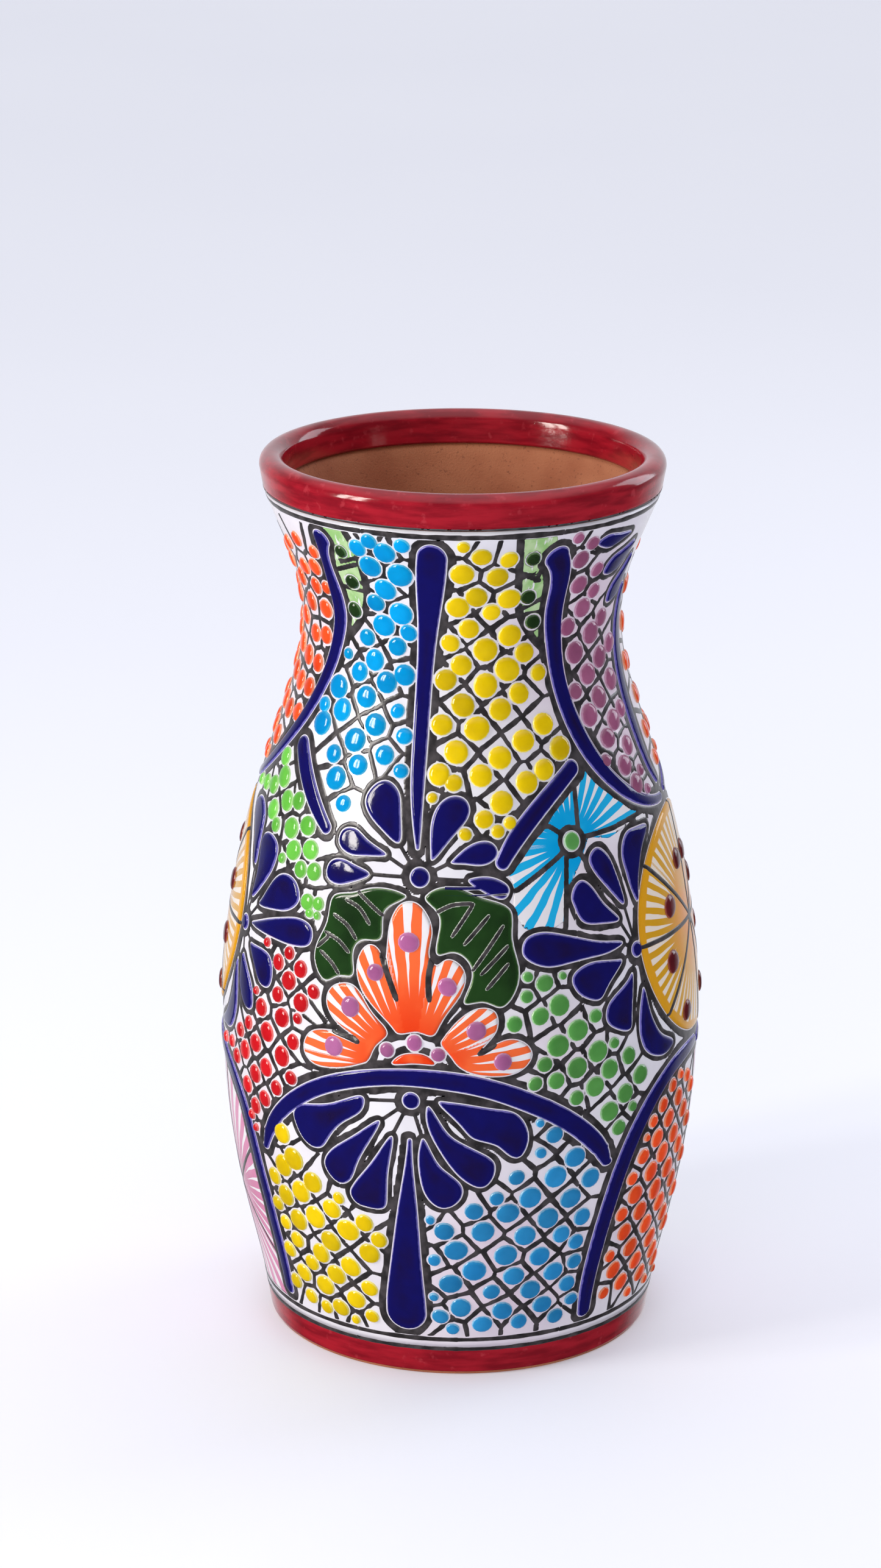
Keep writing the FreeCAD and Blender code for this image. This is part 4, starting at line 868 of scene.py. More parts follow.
# %% One drop of glaze
BEAD_HEIGHT = 1.15
DROP_SPREAD = {"turquoise_beads": 1.10, "light_green_beads": 1.12, "lower_yellow_beads": 1.08,
               "red_beads": 1.07, "lower_orange_beads": 1.07, "coral_lobe_beads": 1.10, "medallion_beads": 1.16}
BEAD_SIDES = 14
DROP_RINGS = [(1.0, -0.25), (1.0, 0.0), (0.90, 0.50), (0.62, 0.86), (0.28, 0.985)]


def drop_mesh():
    """A drop of radius 1 and height 1: rings of a low dome, a top point and a flat underside."""
    corners, faces = [], []
    for radius, height in DROP_RINGS:
        for side in range(BEAD_SIDES):
            turn = 2 * math.pi * side / BEAD_SIDES
            corners.append((radius * math.cos(turn), radius * math.sin(turn), height))
    for ring in range(len(DROP_RINGS) - 1):
        for side in range(BEAD_SIDES):
            following = (side + 1) % BEAD_SIDES
            low, high = ring * BEAD_SIDES, (ring + 1) * BEAD_SIDES
            faces.append((low + side, low + following, high + following, high + side))
    crown = (len(DROP_RINGS) - 1) * BEAD_SIDES
    corners.append((0, 0, 1.0))
    for side in range(BEAD_SIDES):
        faces.append((crown + side, crown + (side + 1) % BEAD_SIDES, len(corners) - 1))
    faces.append(tuple(range(BEAD_SIDES))[::-1])
    mesh = bpy.data.meshes.new("drop")
    mesh.from_pydata(corners, [], faces)
    mesh.shade_smooth()
    store(mesh, "inward", [1 - math.hypot(x, y) for x, y, _ in corners])
    return mesh


drop = bpy.data.objects.new("drop", drop_mesh())
print("one drop has", len(drop.data.polygons), "faces")

# %% A tree that sets drops on points


def bead_tree():
    tree, sockets, entry, leave = new_tree("Beads of glaze", {
        "Drop": "NodeSocketObject", "Height": "NodeSocketFloat", "Oval": "NodeSocketFloat",
        "Seed": "NodeSocketInt", "Finish": "NodeSocketMaterial"})
    radius = node(tree, "GeometryNodeInputNamedAttribute", {"data_type": "FLOAT"}, Name="radius").outputs[0]
    facing = node(tree, "GeometryNodeInputNamedAttribute", {"data_type": "FLOAT_VECTOR"}, Name="facing").outputs[0]
    aim = node(tree, "FunctionNodeAlignRotationToVector", {"axis": "Z"}, Vector=facing).outputs[0]
    low = math_node(tree, "SUBTRACT", 1.0, entry.outputs["Oval"])
    high = math_node(tree, "ADD", 1.0, entry.outputs["Oval"])
    stretch = node(tree, "FunctionNodeRandomValue", {"data_type": "FLOAT"}, i2=low, i3=high,
                   Seed=entry.outputs["Seed"]).outputs[1]
    size = node(tree, "ShaderNodeCombineXYZ", X=math_node(tree, "MULTIPLY", radius, stretch),
                Y=math_node(tree, "DIVIDE", radius, stretch), Z=entry.outputs["Height"])
    shape = node(tree, "GeometryNodeObjectInfo", Object=entry.outputs["Drop"]).outputs["Geometry"]
    placed = node(tree, "GeometryNodeInstanceOnPoints", Points=entry.outputs["Geometry"], Instance=shape,
                  Rotation=aim, Scale=size.outputs[0])
    spin = node(tree, "FunctionNodeRandomValue", {"data_type": "FLOAT"}, i2=0.0, i3=math.pi,
                Seed=math_node(tree, "ADD", entry.outputs["Seed"], 7.0)).outputs[1]
    around = node(tree, "ShaderNodeCombineXYZ", Z=spin).outputs[0]
    spun = node(tree, "GeometryNodeRotateInstances", Instances=placed.outputs[0], Rotation=around)
    tone = node(tree, "FunctionNodeRandomValue", {"data_type": "FLOAT"}, i2=-1.0, i3=1.0,
                Seed=math_node(tree, "ADD", entry.outputs["Seed"], 13.0)).outputs[1]
    toned = node(tree, "GeometryNodeStoreNamedAttribute", {"domain": "INSTANCE", "data_type": "FLOAT"},
                 Geometry=spun.outputs[0], Name="tint", Value=tone)
    wide = node(tree, "GeometryNodeStoreNamedAttribute", {"domain": "INSTANCE", "data_type": "FLOAT"},
                Geometry=toned.outputs[0], Name="width", Value=math_node(tree, "DIVIDE", radius, MM))
    real = node(tree, "GeometryNodeRealizeInstances", Geometry=wide.outputs[0])
    inward = node(tree, "GeometryNodeInputNamedAttribute", {"data_type": "FLOAT"}, Name="inward").outputs[0]
    width = node(tree, "GeometryNodeInputNamedAttribute", {"data_type": "FLOAT"}, Name="width").outputs[0]
    deep = node(tree, "GeometryNodeStoreNamedAttribute", {"domain": "POINT", "data_type": "FLOAT"},
                Geometry=real.outputs[0], Name="depth", Value=math_node(tree, "MULTIPLY", inward, width))
    finished = node(tree, "GeometryNodeSetMaterial", Geometry=deep.outputs[0], Material=entry.outputs["Finish"])
    tree.links.new(finished.outputs[0], leave.inputs[0])
    return tree, sockets


BEAD_TREE, BEAD_SOCKETS = bead_tree()

# %% [markdown]
# Ten colours of drops are used. A drop has no dark pooled middle as a pad has, but its rim is
# thin and lets the white through.

# %% Colours of the drops


def drop_glaze(name, body, deep, thin):
    return glaze(name, deep, body, thin, roughness=0.1, thin_until=0.42, deep_from=1.3, streak=0.32)


BEAD_GLAZES = {
    "turquoise_beads": drop_glaze("turquoise_glaze", linear(0, 158, 220), linear(0, 138, 206), linear(90, 200, 235)),
    "yellow_beads": drop_glaze("yellow_glaze", linear(228, 196, 8), linear(212, 176, 0), linear(240, 226, 120)),
    "mauve_beads": drop_glaze("mauve_glaze", linear(158, 92, 124), linear(142, 74, 110), linear(200, 150, 176)),
    "orange_neck_beads": drop_glaze("orange_glaze", linear(240, 82, 34), linear(224, 62, 24), linear(250, 160, 120)),
    "light_green_beads": drop_glaze("light_green_glaze", linear(112, 196, 76), linear(92, 178, 60),
                                    linear(180, 226, 150)),
    "red_beads": drop_glaze("red_glaze", linear(206, 26, 34), linear(184, 12, 24), linear(240, 120, 116)),
    "mid_green_beads": drop_glaze("mid_green_glaze", linear(86, 150, 74), linear(68, 132, 60),
                                  linear(160, 204, 150)),
    "lower_blue_beads": drop_glaze("blue_glaze", linear(42, 136, 190), linear(26, 116, 174), linear(130, 190, 222)),
    "dark_green_beads": drop_glaze("dark_green_glaze", linear(34, 58, 26), linear(22, 42, 16), linear(90, 120, 76)),
    "medallion_beads": drop_glaze("brown_red_glaze", linear(96, 26, 32), linear(76, 16, 24), linear(150, 80, 60)),
}
BEAD_GLAZES["lower_yellow_beads"] = BEAD_GLAZES["yellow_beads"]
BEAD_GLAZES["lower_orange_beads"] = BEAD_GLAZES["orange_neck_beads"]
BEAD_GLAZES["coral_lobe_beads"] = drop_glaze("lilac_glaze", linear(176, 104, 152), linear(156, 84, 134),
                                             linear(206, 150, 186))
BEAD_GLAZES["flower_heart_beads"] = BEAD_GLAZES["coral_lobe_beads"]

# %% Set the drops


def bead_places(name):
    """Angle, level, radius and seat of each bead solid of a CAD node, in millimetres."""
    places = []
    for points, _ in islands(name):
        angle, level, off = on_map(points)
        middle = (level.min() + level.max()) / 2
        radius = (level.max() - level.min()) / 2 / float(outward_parts(middle)[0]) * DROP_SPREAD.get(name, 1.04)
        places.append(((angle.min() + angle.max()) / 2, middle, radius, max(off.min(), 0.0)))
    return np.array(places)


beads = {}
for number, (name, finish) in enumerate(BEAD_GLAZES.items()):
    places = bead_places(name)
    beads[name] = places
    seat = np.where(places[:, 3] > 0.4, PAD_HEIGHT + 0.05, 0.0)
    mesh = bpy.data.meshes.new(name + "_places")
    mesh.from_pydata(on_wall(places[:, 0], places[:, 1], seat).tolist(), [], [])
    store(mesh, "radius", places[:, 2] * MM)
    away, up = outward_parts(places[:, 1])
    turn = np.radians(places[:, 0])
    facing = np.stack([away * np.sin(turn), -away * np.cos(turn), up], axis=1)
    layer = mesh.attributes.new("facing", "FLOAT_VECTOR", "POINT")
    layer.data.foreach_set("vector", facing.astype(np.float32).reshape(-1))
    values = {"Drop": drop, "Height": BEAD_HEIGHT * MM, "Oval": 0.05, "Seed": 20 + number, "Finish": finish}
    pieces[name] = bake_nodes(name + "_drops", mesh, BEAD_TREE, BEAD_SOCKETS, values)
    print("%-20s %4d drops, radius %.1f to %.1f mm" % (name, len(places), places[:, 2].min(), places[:, 2].max()))

# %% [markdown]
# ## Charcoal lines
# The painter draws first, with dark slip in a fine brush: an outline round every pad, a net
# of lines that runs midway between the drops, a few dividers, and rings at the foot and the
# mouth. Where lines meet they run together, and where a line meets a pad or a drop a hair of
# white stays between them. Swept tubes would overlap at every crossing, so the lines are one
# field on the map instead: each kind of line is a rule for the distance to its edge, the
# smallest one wins, and the white hairs are cut away from the result.

# %% Nearest drops
HAIR = 0.42
PAD_HAIR = 0.34
NET_REACH = 8.5
net_names = ["turquoise_beads", "yellow_beads", "mauve_beads", "orange_neck_beads", "light_green_beads",
             "red_beads", "mid_green_beads", "lower_yellow_beads", "lower_blue_beads", "lower_orange_beads"]
shape_of_map = pad_distance.shape
nearest = np.full(shape_of_map, 50.0)
second = np.full(shape_of_map, 60.0)
nearest_field = np.full(shape_of_map, -1)
second_field = np.full(shape_of_map, -2)
nearest_way = np.zeros(shape_of_map + (2,))
second_way = np.zeros(shape_of_map + (2,))
drop_distance = np.full(shape_of_map, 50.0)
for field, name in enumerate(net_names + ["dark_green_beads", "flower_heart_beads"]):
    for angle, level, radius, _ in beads[name]:
        window = Window(angle - 17, angle + 17, level - 15, level + 15)
        across = (window.angle - angle) * window.degree
        rise = (window.level - level) * window.climb
        away = np.hypot(across, rise)
        gap = away - radius
        cells = window.cells
        drop_distance[cells] = np.minimum(drop_distance[cells], gap)
        if name not in net_names:
            continue
        way = np.stack([across, rise], axis=-1) / np.maximum(away, 1e-6)[..., None]
        first_now, second_now = nearest[cells], second[cells]
        closer = gap < first_now
        between = ~closer & (gap < second_now)
        second[cells] = np.where(closer, first_now, np.where(between, gap, second_now))
        second_field[cells] = np.where(closer, nearest_field[cells], np.where(between, field, second_field[cells]))
        second_way[cells] = np.where(closer[..., None], nearest_way[cells],
                                     np.where(between[..., None], way, second_way[cells]))
        nearest[cells] = np.where(closer, gap, first_now)
        nearest_field[cells] = np.where(closer, field, nearest_field[cells])
        nearest_way[cells] = np.where(closer[..., None], way, nearest_way[cells])
print("places nearer than 3 mm to a drop: %.0f%%" % (100 * (drop_distance < 3).mean()))

# %% [markdown]
# Strokes that belong to no pad are drawn on the map, each a short list of places and
# a half width: the dividers of the turquoise flower, the curved edges of the green strips at
# the neck, the two arcs round the flower's heart and the rings that frame the painting.

# %% Strokes on the white
PINK_MIDDLE = (-79.0, 50.0)
STROKES_ON_WHITE = [
    (1.1, [(-100.5, 15), (-100.5, 60), (-100.5, 102)]),
    (0.8, [PINK_MIDDLE, (-80, 75), (-78, 96)]), (0.8, [PINK_MIDDLE, (-70, 61), (-60, 74)]),
    (0.8, [PINK_MIDDLE, (-68, 40), (-58, 30)]), (0.8, [PINK_MIDDLE, (-78, 32), (-79, 15)]),
    (0.8, [PINK_MIDDLE, (-90, 38), (-100, 30)]), (0.8, [PINK_MIDDLE, (-90, 63), (-100, 74)]),
    (1.0, [(34, 192), (35, 204)]),
    (1.0, [(34.5, 188.5), (45, 188.7), (52, 189.5), (70, 191)]),
    (1.0, [(29.3, 184.5), (28, 172), (27, 161)]),
    (1.0, [(28, 184.5), (22, 180), (14.5, 174.5)]),
    (1.0, [(28.5, 190.5), (25, 193.5), (22.5, 193.5)]),
    (1.0, [(33, 184.5), (36, 178.5), (36, 176)]),
    (1.5, [(-36, 290), (-33.5, 283), (-33, 276), (-33.2, 268), (-35.5, 261), (-39, 256), (-44.5, 250.5)]),
    (1.0, [(-43, 275), (-35, 278)]),
    (1.0, [(-43, 269), (-35, 268.5)]),
    (1.4, [(16.7, 290), (18, 276), (19, 266), (21, 260), (25, 254), (29.5, 249.5)]),
    (1.0, [(18.5, 277), (25, 274)]),
    (1.0, [(25.5, 279), (24, 274)]),
    (1.0, [(20, 264), (28, 267.5)]),
    (1.1, [(-21.7, 116), (-19.5, 121.5), (-16, 125.5), (-11, 127.5), (-7, 126.8), (-3.5, 124), (-1.5, 119.5),
           (-0.8, 117.3)]),
    (1.0, [(-17, 118), (-15, 121), (-11, 122.5), (-7, 121.5), (-5.2, 118.5)]),
]
RINGS = [(10.3, 0.75), (14.0, 0.85), (291.0, 0.9), (293.7, 0.35)]


def smooth_path(places, steps=5):
    """A Catmull-Rom curve through the places, as finer places."""
    ends = np.array([places[0]] + list(places) + [places[-1]], dtype=float)
    fine = []
    for p0, p1, p2, p3 in zip(ends, ends[1:], ends[2:], ends[3:]):
        for t in np.arange(steps) / steps:
            fine.append(0.5 * (2 * p1 + (p2 - p0) * t + (2 * p0 - 5 * p1 + 4 * p2 - p3) * t ** 2
                               + (3 * p1 - p0 - 3 * p2 + p3) * t ** 3))
    return np.array(fine + [ends[-1]])


def stroke_lines(places, turn):
    path = smooth_path(places) + (turn, 0)
    return np.concatenate([path[:-1], path[1:]], axis=1)


stroke_distance = np.full(shape_of_map, 20.0)
for half_width, places in STROKES_ON_WHITE:
    for turn in TURNS:
        lines = stroke_lines(places, turn)
        angles, heights = lines[:, [0, 2]], lines[:, [1, 3]]
        window = Window(angles.min() - 5, angles.max() + 5, heights.min() - 4, heights.max() + 4)
        away = line_distance(window, lines) - half_width
        stroke_distance[window.cells] = np.minimum(stroke_distance[window.cells], away)

# %% [markdown]
# The petals of a fan point at its hub, and the painter's line runs on from each petal's tip to
# the hub, so that long white slivers are left between the lines. The tip is the place on the
# petal's rim that lies nearest to a hub.

# %% Lines from petal tips to hubs
hubs = [(lines[:, 0].mean(), lines[:, 1].mean()) for lines in pad_rims["fan_hubs"]]
tip_strokes = 0
for name in ("upper_fan_petals", "lower_fan_petals", "side_fan_petals", "neck_fan_petals"):
    for rim in pad_rims[name]:
        best = (20.0, None)
        for hub_angle, hub_level in hubs:
            across = angle_apart(rim[:, 0], hub_angle) * math.radians(1) * clay_radius(rim[:, 1])
            away = np.hypot(across, rim[:, 1] - hub_level)
            if away.min() < best[0]:
                tip = rim[away.argmin(), :2]
                best = (away.min(), [tip, (tip[0] - angle_apart(tip[0], hub_angle), hub_level)])
        if best[1] is not None:
            lines = stroke_lines(best[1], 0)
            window = Window(lines[:, [0, 2]].min() - 4, lines[:, [0, 2]].max() + 4,
                            lines[:, [1, 3]].min() - 4, lines[:, [1, 3]].max() + 4)
            away = line_distance(window, lines) - 0.65
            stroke_distance[window.cells] = np.minimum(stroke_distance[window.cells], away)
            tip_strokes += 1
print("strokes from petal tips:", tip_strokes)

# %% Join the charcoal lines into one skin
whole = Window(0, 360 - STEP_ROUND, LEVELS[0], LEVELS[-1])
hand = unevenness(whole.angle * 1.9, whole.level * 1.7)
tremble = unevenness(whole.angle * 6.0 + 40, whole.level * 5.0)
outline_width = pad_outline + 0.30 * hand + 0.10 * tremble
middle = PAD_HAIR + outline_width / 2
outline = np.abs(pad_distance - middle) - outline_width / 2

slant = np.hypot(*np.moveaxis(nearest_way - second_way, -1, 0)) / 2
net = (second - nearest) / 2 / np.maximum(slant, 0.35) - (0.88 + 0.20 * hand + 0.10 * tremble)
net = np.where(nearest_field == second_field, net, 5.0)
net = np.maximum(net, nearest - NET_REACH)

ring = np.full(shape_of_map, 5.0)
for level, half_width in RINGS:
    ring = np.minimum(ring, np.abs(whole.level - level) - half_width * (1 + 0.14 * hand))
in_bands = (whole.level < 15.2) | (whole.level > 289.9)
ink = np.minimum(np.minimum(outline, net), stroke_distance)
ink = np.where(in_bands, 5.0, ink)
ink = np.minimum(ink, ring)
ink = np.maximum(ink, HAIR - drop_distance)
ink = np.maximum(ink, PAD_HAIR - pad_distance)
print("charcoal covers %.0f%% of the wall" % (100 * (ink < 0).mean()))

# %% [markdown]
# The charcoal is a thin matt slip, so its skin is only a tenth of a millimetre high, with a
# rounded edge. It is cut out in six sections of the wall, which keeps each mesh light. A section ends
# on a straight cut that its neighbour shares, so height and colour follow the ink, not the cut.

# %% The charcoal finish and its pieces


def charcoal_finish():
    material, tree, shader = start_material("charcoal_line", 0.34, 0.35)
    depth = attribute(tree, "depth")
    brush = soft_noise(tree, 260.0, 4.0)
    colour = blend_colour(tree, smooth_step(tree, brush, 0.35, 0.7), linear(42, 39, 41), linear(76, 71, 73))
    thin = smooth_step(tree, math_node(tree, "ADD", depth, math_node(tree, "MULTIPLY", brush, 0.2)), 0.26, 0.1)
    colour = blend_colour(tree, math_node(tree, "MULTIPLY", thin, 0.6), colour, linear(112, 108, 112))
    tree.links.new(colour, shader.inputs["Base Color"])
    glassy_bump(tree, shader, 0.4)
    return material


CHARCOAL = charcoal_finish()
INK_HEIGHT = 0.12


def ink_top(data):
    share = np.clip(-data[:, 2] / 0.45, 0, 1)
    return INK_HEIGHT * np.sqrt(1 - (1 - share) ** 2)


def ink_depth(data):
    return -data[:, 2]


SECTIONS = {"front": 0, "front_right": 60, "back_right": 120, "back": 180, "back_left": 240, "front_left": 300}
for side, middle_angle in SECTIONS.items():
    window = Window(middle_angle - 30.8, middle_angle + 30.8, LEVELS[0], LEVELS[-1])
    beyond = (np.abs(window.angle - middle_angle) - 30.0) * window.degree
    own_ink = ink[window.cells]
    part = cut_out(np.maximum(own_ink, beyond), [window.angle, window.level, own_ink])
    piece = layer_of_glaze("charcoal_lines_" + side, [part], ink_top, CHARCOAL, sunk=0.15, depth=ink_depth)
    piece.data.set_sharp_from_angle(angle=math.radians(70))
    pieces["charcoal_" + side] = piece

# %% [markdown]
# Lines that cross a pad sit on top of it: the veins of the leaves, the notches between the
# lobes of the coral flower and the spokes of the medallions. The veins have a hair of white on both
# sides, so a slightly wider pale stroke is laid first under them and the charcoal over it.

# %% Lines on top of pads
ON_LEAVES = [
    [(-30, 169), (-26, 167), (-23, 162.5)], [(-33, 163.5), (-29, 161), (-26.3, 157)],
    [(-35, 157.3), (-31, 155.5), (-28, 152.3)], [(-35.8, 150.8), (-32.5, 148), (-30.3, 144.8)],
    [(-34, 156), (-37, 152)], [(-27, 172.3), (-19.5, 165.5)],
    [(3.2, 170.8), (-2, 160.5)], [(-6, 168), (-2, 170.5), (3, 171)], [(7, 167), (1, 158)],
    [(10.5, 163.5), (3, 149.5)], [(11.5, 157), (5, 148.2)], [(11.5, 151.2), (6.3, 143.3)],
]
ON_CORAL = [
    [(-19.3, 153.5), (-17.5, 147), (-15, 139)], [(-6.5, 155), (-7.5, 147), (-7.2, 139.5)],
    [(-31, 125.6), (-27, 124.4), (-24.2, 123.2)], [(8, 124.6), (4.5, 121.8)],
]


def spokes():
    """Lines from a medallion's middle to its rim, between the sectors."""
    lines = []
    angle, level, radius = MEDALLION
    for number in range(SECTORS):
        turn = 2 * math.pi * number / SECTORS + 0.09 * math.sin(number * 2.4)
        path = []
        for share in (0.0, 0.5, 1.03):
            height = level + radius * share * math.sin(turn)
            degree = math.radians(1) * (clay_radius(height) + COAT)
            path.append((angle + radius * share * math.cos(turn) / degree, height))
        lines.append(path)
    return lines


def lines_on_pads(name, node_name, paths, half_width, finish, lift, beyond):
    """Strokes on the pads of one node; lift is their height over the pad, beyond how far past its edge."""
    parts = []
    for window, pad in pad_maps[node_name]:
        middle_angle = window.angle.mean()
        best = np.full(pad.shape, 9.0)
        for turn in (-360.0, -180.0, 0.0, 180.0, 360.0):
            for path in paths:
                if abs(path[0][0] + turn - middle_angle) < 60:
                    lines = stroke_lines(path, turn)
                    taper = [(half_width * (0.75 + 0.25 * (n > 0)), half_width * (0.75 + 0.25 * (n < len(lines) - 1)))
                             for n in range(len(lines))]
                    best = np.minimum(best, line_distance(window, lines, taper))
        field = np.maximum(best, pad - beyond)
        if (field < 0).any():
            parts.append(cut_out(field, [window.angle, window.level, -pad]))

    def top(data):
        rise = np.clip(-data[:, -1] / 0.3, 0, 1)
        under = pad_height(np.maximum(data[:, 2], 0), data[:, 0], data[:, 1])
        return under + lift * np.sqrt(1 - (1 - rise) ** 2) - 0.02

    return layer_of_glaze(name, parts, top, finish, sunk=0.0, depth=edge_depth)


def scratch_finish():
    material, tree, shader = start_material("scratched_edge", 0.25, 0.5)
    shade = soft_noise(tree, 500.0)
    colour = blend_colour(tree, shade, linear(206, 212, 200), linear(160, 170, 150))
    tree.links.new(colour, shader.inputs["Base Color"])
    glassy_bump(tree, shader)
    return material


SCRATCH = scratch_finish()
pieces["vein_edges"] = lines_on_pads("leaf_vein_edges", "leaves", ON_LEAVES, 0.88, SCRATCH, 0.05, -0.2)
pieces["veins"] = lines_on_pads("leaf_veins", "leaves", ON_LEAVES, 0.68, CHARCOAL, 0.12, 0.35)
pieces["notches"] = lines_on_pads("coral_notches", "coral_flowers", ON_CORAL, 1.05, CHARCOAL, 0.12, 0.5)
pieces["spokes"] = lines_on_pads("medallion_spokes", "side_medallions", spokes(), 0.9, CHARCOAL, 0.12, 0.5)

# %% [markdown]
# ## Washes
# Some fields are not raised at all: colour is brushed thinly on the white. The turquoise
# flower is brushed outward from its green eye and breaks into spikes, the strips at the neck
# are a light green behind dark drops, and the low panel at the left side has loose pink
# strokes. They are thin skins under the charcoal, cut to the edge of their field.

# %% Wash finishes


def wash(name, body, thin, along, across, cover, roughness=0.2):
    """A thin brushed colour: streaks run along one direction and leave the white in between."""
    material, tree, shader = start_material(name, roughness, 0.4)
    place = node(tree, "ShaderNodeCombineXYZ", X=attribute(tree, "map_across"), Y=attribute(tree, "map_up"))
    turned_place = node(tree, "ShaderNodeMapping", Vector=place.outputs[0], Scale=(across, along, 1.0),
                        Rotation=(0.0, 0.0, -0.5))
    streaks = node(tree, "ShaderNodeTexNoise", Vector=turned_place.outputs[0], Scale=1.0, Detail=3.0).outputs["Fac"]
    dry = smooth_step(tree, streaks, 1.0 - cover - 0.04, 1.0 - cover + 0.04)
    tone = blend_colour(tree, smooth_step(tree, soft_noise(tree, 180.0, 3.0), 0.35, 0.65), body, thin)
    colour = blend_colour(tree, dry, GROUND_WHITE, tone)
    tree.links.new(colour, shader.inputs["Base Color"])
    glassy_bump(tree, shader)
    return material


TURQUOISE_WASH = brushed("turquoise_wash", linear(30, 176, 228), linear(0, 160, 222), GROUND_WHITE, 30.0, 0.26, 1.0, 0.6)
GREEN_WASH = wash("light_green_wash", linear(150, 196, 120), linear(186, 214, 160), 0.15, 0.35, 0.62)
PINK_WASH = brushed("pink_wash", linear(216, 132, 172), linear(190, 88, 136), GROUND_WHITE, 34.0, 0.16, 1.1, 0.6)

# %% Wash fields
EYE = (31.4, 187.8)
WASH_FIELDS = {
    "turquoise_wash": (TURQUOISE_WASH, [
        [(36, 211), (44, 213), (49, 206), (56, 199), (64, 194), (72, 191), (62, 187), (52, 188), (44, 186),
         (37, 188), (33, 180), (28, 172), (27, 163), (22, 160), (16, 162), (13, 168), (14, 175), (12, 182),
         (16, 190), (24, 199), (32, 207)]]),
    "light_green_wash": (GREEN_WASH, [
        [(-46, 289.8), (-36, 289.8), (-33.5, 283), (-33, 276), (-33.2, 268), (-35.5, 261), (-39, 256),
         (-45.5, 250.5), (-47.5, 258), (-48, 268), (-48, 277)],
        [(16.9, 289.8), (28, 289.8), (31, 280), (33, 272), (33, 262), (33, 251), (29.5, 250), (25, 254),
         (21, 260), (19, 266), (18, 276)]]),
    "pink_wash": (PINK_WASH, [
        [(-100.5, 101), (-88, 100), (-78, 98), (-70, 93.5), (-64.5, 87), (-61.5, 78), (-58.8, 66), (-57, 52),
         (-56.4, 38), (-57, 20), (-57.4, 15.2), (-78, 15.2), (-100.5, 15.2)]]),
}
WASH_CENTRES = {"turquoise_wash": (EYE, 27.0), "light_green_wash": (EYE, 27.0), "pink_wash": (PINK_MIDDLE, 40.0)}


def wash_ray(name, data):
    """Bearing round the middle of a brushed flower, and the share of the way out."""
    centre, reach = WASH_CENTRES[name]
    near = np.where(np.abs(angle_apart(data[:, 0], centre[0])) < 90, 0.0, 180.0)
    angle = centre[0] + angle_apart(data[:, 0], centre[0] + near)
    bearing, distance = from_centre(angle, data[:, 1], *centre)
    return bearing / math.pi, distance / reach


def wash_top(data):
    return 0.05 * np.clip(-data[:, -1] / 0.4, 0, 1)


for name, (finish, fields) in WASH_FIELDS.items():
    parts = []
    for turn in TURNS:
        for corners in fields:
            ends = np.array(corners + corners[:1], dtype=float) + (turn, 0)
            lines = np.concatenate([ends[:-1], ends[1:]], axis=1)
            window = Window(ends[:, 0].min() - 2, ends[:, 0].max() + 2, ends[:, 1].min() - 2, ends[:, 1].max() + 2)
            field = np.maximum(signed_distance(window, lines), HAIR - pad_distance[window.cells])
            field = np.maximum(field, HAIR * 0.6 - drop_distance[window.cells])
            step = 1 if name == "light_green_wash" else 2
            parts.append(cut_out(field[::step, ::step], [window.angle[::step, ::step],
                                                         window.level[::step, ::step]]))
    pieces[name] = layer_of_glaze(name, parts, wash_top, finish, sunk=0.1, depth=edge_depth,
                                  ray_side=lambda data, name=name: wash_ray(name, data)[0],
                                  ray_out=lambda data, name=name: wash_ray(name, data)[1],
                                  map_across=lambda data: data[:, 0] * 1.35, map_up=lambda data: data[:, 1])

# %% [markdown]
# ## Put the pieces on the body
# Every piece rides on the one body of the part, and a piece that stands for CAD nodes hides them.

# %% Ride and replace
SLOTS = {
    "leaves": "leaf_green_glaze", "coral_flowers": "coral_glaze", "flower_hearts": "coral_glaze",
    "side_medallions": "gold_glaze", "turquoise_flower_eyes": "mid_green_glaze",
    "turquoise_beads": "turquoise_glaze", "yellow_beads": "yellow_glaze", "mauve_beads": "mauve_glaze",
    "orange_neck_beads": "orange_glaze", "light_green_beads": "light_green_glaze", "red_beads": "red_glaze",
    "mid_green_beads": "mid_green_glaze", "lower_yellow_beads": "yellow_glaze", "lower_blue_beads": "blue_glaze",
    "lower_orange_beads": "orange_glaze", "dark_green_beads": "dark_green_glaze",
    "coral_lobe_beads": "mauve_glaze", "flower_heart_beads": "mauve_glaze", "medallion_beads": "brown_red_glaze",
    "turquoise_wash": "turquoise_glaze", "light_green_wash": "light_green_glaze", "pink_wash": "mauve_glaze",
    "vein_edges": "white_glaze",
}
for name, piece in pieces.items():
    if name in PADS:
        slot = SLOTS.get(name, "cobalt_glaze")
    else:
        slot = SLOTS.get(name, "charcoal_line")
    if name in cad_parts:
        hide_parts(name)
    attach(piece, "root")

TURNED = [
    (clay_wall, ["clay_belly_wall", "clay_neck_wall"], "terracotta"), (white_coat, ["white_glaze_coat"], "white_glaze"),
    (lip, ["rim_roll"], "terracotta"), (rim_band, ["rim_band_glaze"], "crimson_glaze"),
    (foot, ["foot_ring"], "terracotta"), (foot_band, ["foot_band_glaze"], "crimson_glaze"),
    (floor_disc, ["clay_floor"], "terracotta"),
]
for piece, nodes, slot in TURNED:
    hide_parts(*nodes)
    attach(piece, "root")

# %% [markdown]
# ## Table, light and camera
# A big pale sheet stands for the table. A tall window of two panes to the left gives the
# reflections that run down the shoulder, a soft light near the camera fills the front, and a
# cool panel behind on the right draws the edge. The fill and the table aren't mirrored in the
# glaze, so the dark colours stay deep, and the plain screen transform keeps them saturated.

# %% Table


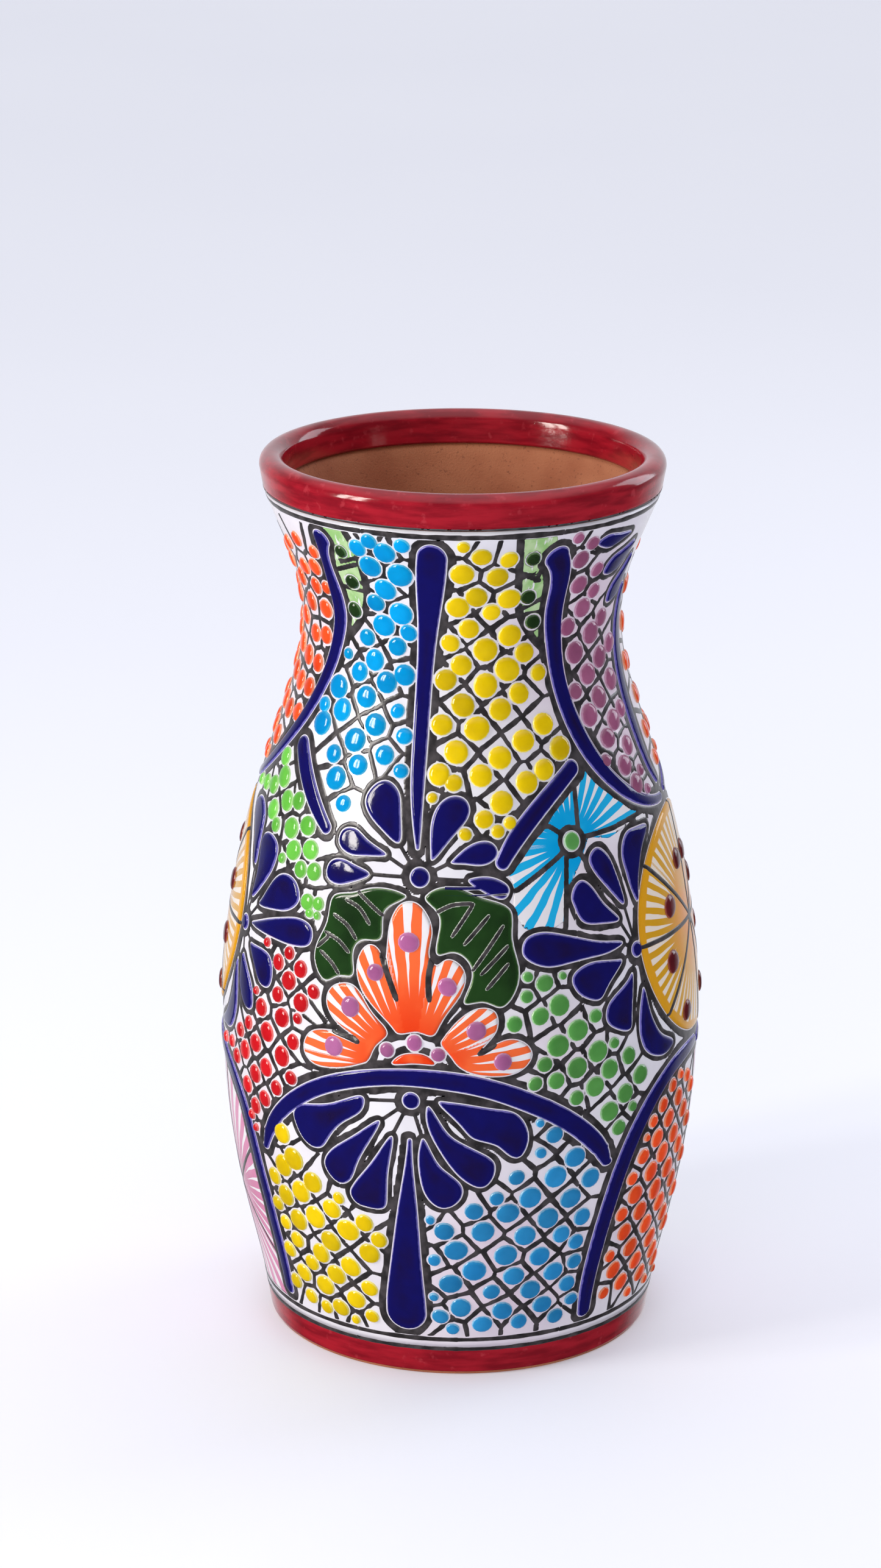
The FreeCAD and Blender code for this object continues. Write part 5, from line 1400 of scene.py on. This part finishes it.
def table_finish():
    material, tree, shader = start_material("pale_table", 0.6, 0.0)
    cloudy = soft_noise(tree, 1.5, 2.0)
    colour = blend_colour(tree, cloudy, linear(230, 231, 238), linear(224, 225, 234))
    tree.links.new(colour, shader.inputs["Base Color"])
    shader.inputs["Emission Color"].default_value = (0.9, 0.92, 1.0, 1.0)
    shader.inputs["Emission Strength"].default_value = 0.22
    return material


floor_mesh = bpy.data.meshes.new("table_top")
floor_mesh.from_pydata([(-14, -14, 0), (14, -14, 0), (14, 14, 0), (-14, 14, 0)], [], [(0, 1, 2, 3)])
floor_mesh.materials.append(table_finish())
table_top = bpy.data.objects.new("table_top", floor_mesh)
bpy.context.scene.collection.objects.link(table_top)
table_top.visible_glossy = False

# %% Lights


def area_light(name, place, target, size, power, colour, mirrored=True):
    data = bpy.data.lights.new(name, "AREA")
    data.shape = "RECTANGLE"
    data.size, data.size_y = size
    data.energy = power
    data.color = colour
    light = bpy.data.objects.new(name, data)
    light.location = place
    light.rotation_euler = (Vector(target) - Vector(place)).to_track_quat("-Z", "Y").to_euler()
    light.visible_glossy = mirrored
    bpy.context.scene.collection.objects.link(light)


middle_of_vase = (0.0, 0.0, 0.17)
area_light("window_near", (-1.244, -0.737, 0.72), middle_of_vase, (0.18, 0.75), 6.5, (1.0, 0.95, 0.88))
area_light("window_far", (-1.356, -0.503, 0.72), middle_of_vase, (0.18, 0.75), 6.5, (1.0, 0.95, 0.88))
area_light("right_panel", (1.2, 0.75, 0.75), middle_of_vase, (0.6, 1.0), 5.0, (0.87, 0.92, 1.0))
area_light("front_fill", (-0.5, -2.2, 0.7), middle_of_vase, (1.6, 1.2), 15.0, (1.0, 0.98, 0.99), mirrored=False)


def room():
    """A pale room whose light is even, while mirrored in the glaze it is bright only far behind."""
    world = bpy.data.worlds.new("pale_room")
    world.use_nodes = True
    tree = world.node_tree
    toward = node(tree, "ShaderNodeSeparateXYZ", Vector=node(tree, "ShaderNodeTexCoord").outputs["Generated"])
    behind = smooth_step(tree, toward.outputs["Y"], -0.35, 0.45)
    far_behind = smooth_step(tree, toward.outputs["Y"], 0.35, 1.0)
    above = smooth_step(tree, toward.outputs["Z"], 0.45, 0.95)
    even = math_node(tree, "ADD", math_node(tree, "MULTIPLY", math_node(tree, "MAXIMUM", behind, above), 0.90), 0.10)
    mirrored = math_node(tree, "ADD", math_node(tree, "MULTIPLY", math_node(tree, "MAXIMUM", far_behind, above), 0.75),
                         0.04)
    glossy = node(tree, "ShaderNodeLightPath").outputs["Is Glossy Ray"]
    strength = node(tree, "ShaderNodeMix", {"data_type": "FLOAT"}, i0=glossy, i2=even, i3=mirrored).outputs[0]
    background = tree.nodes["Background"]
    background.inputs["Color"].default_value = (0.93, 0.94, 1.0, 1.0)
    tree.links.new(strength, background.inputs["Strength"])
    return world


bpy.context.scene.world = room()
bpy.context.scene.view_settings.view_transform = "Standard"

# %% Camera
LENS = 100.0
PITCH = 0.3015
YAW = math.radians(-0.285)
ROLL = math.radians(0.204)
forward = Vector((math.sin(YAW) * math.cos(PITCH), math.cos(YAW) * math.cos(PITCH), -math.sin(PITCH)))
level_right = Vector((math.cos(YAW), -math.sin(YAW), 0))
level_up = level_right.cross(forward)
right = math.cos(ROLL) * level_right + math.sin(ROLL) * level_up
up = -math.sin(ROLL) * level_right + math.cos(ROLL) * level_up
camera_data = bpy.data.cameras.new("camera")
camera_data.lens = LENS
camera_data.sensor_width = 36.0
camera = bpy.data.objects.new("camera", camera_data)
camera.matrix_world = Matrix.Translation((0.0, -1.41227, 0.62791)) @ Matrix((right, up, -forward)).transposed().to_4x4()
bpy.context.scene.collection.objects.link(camera)
bpy.context.scene.camera = camera
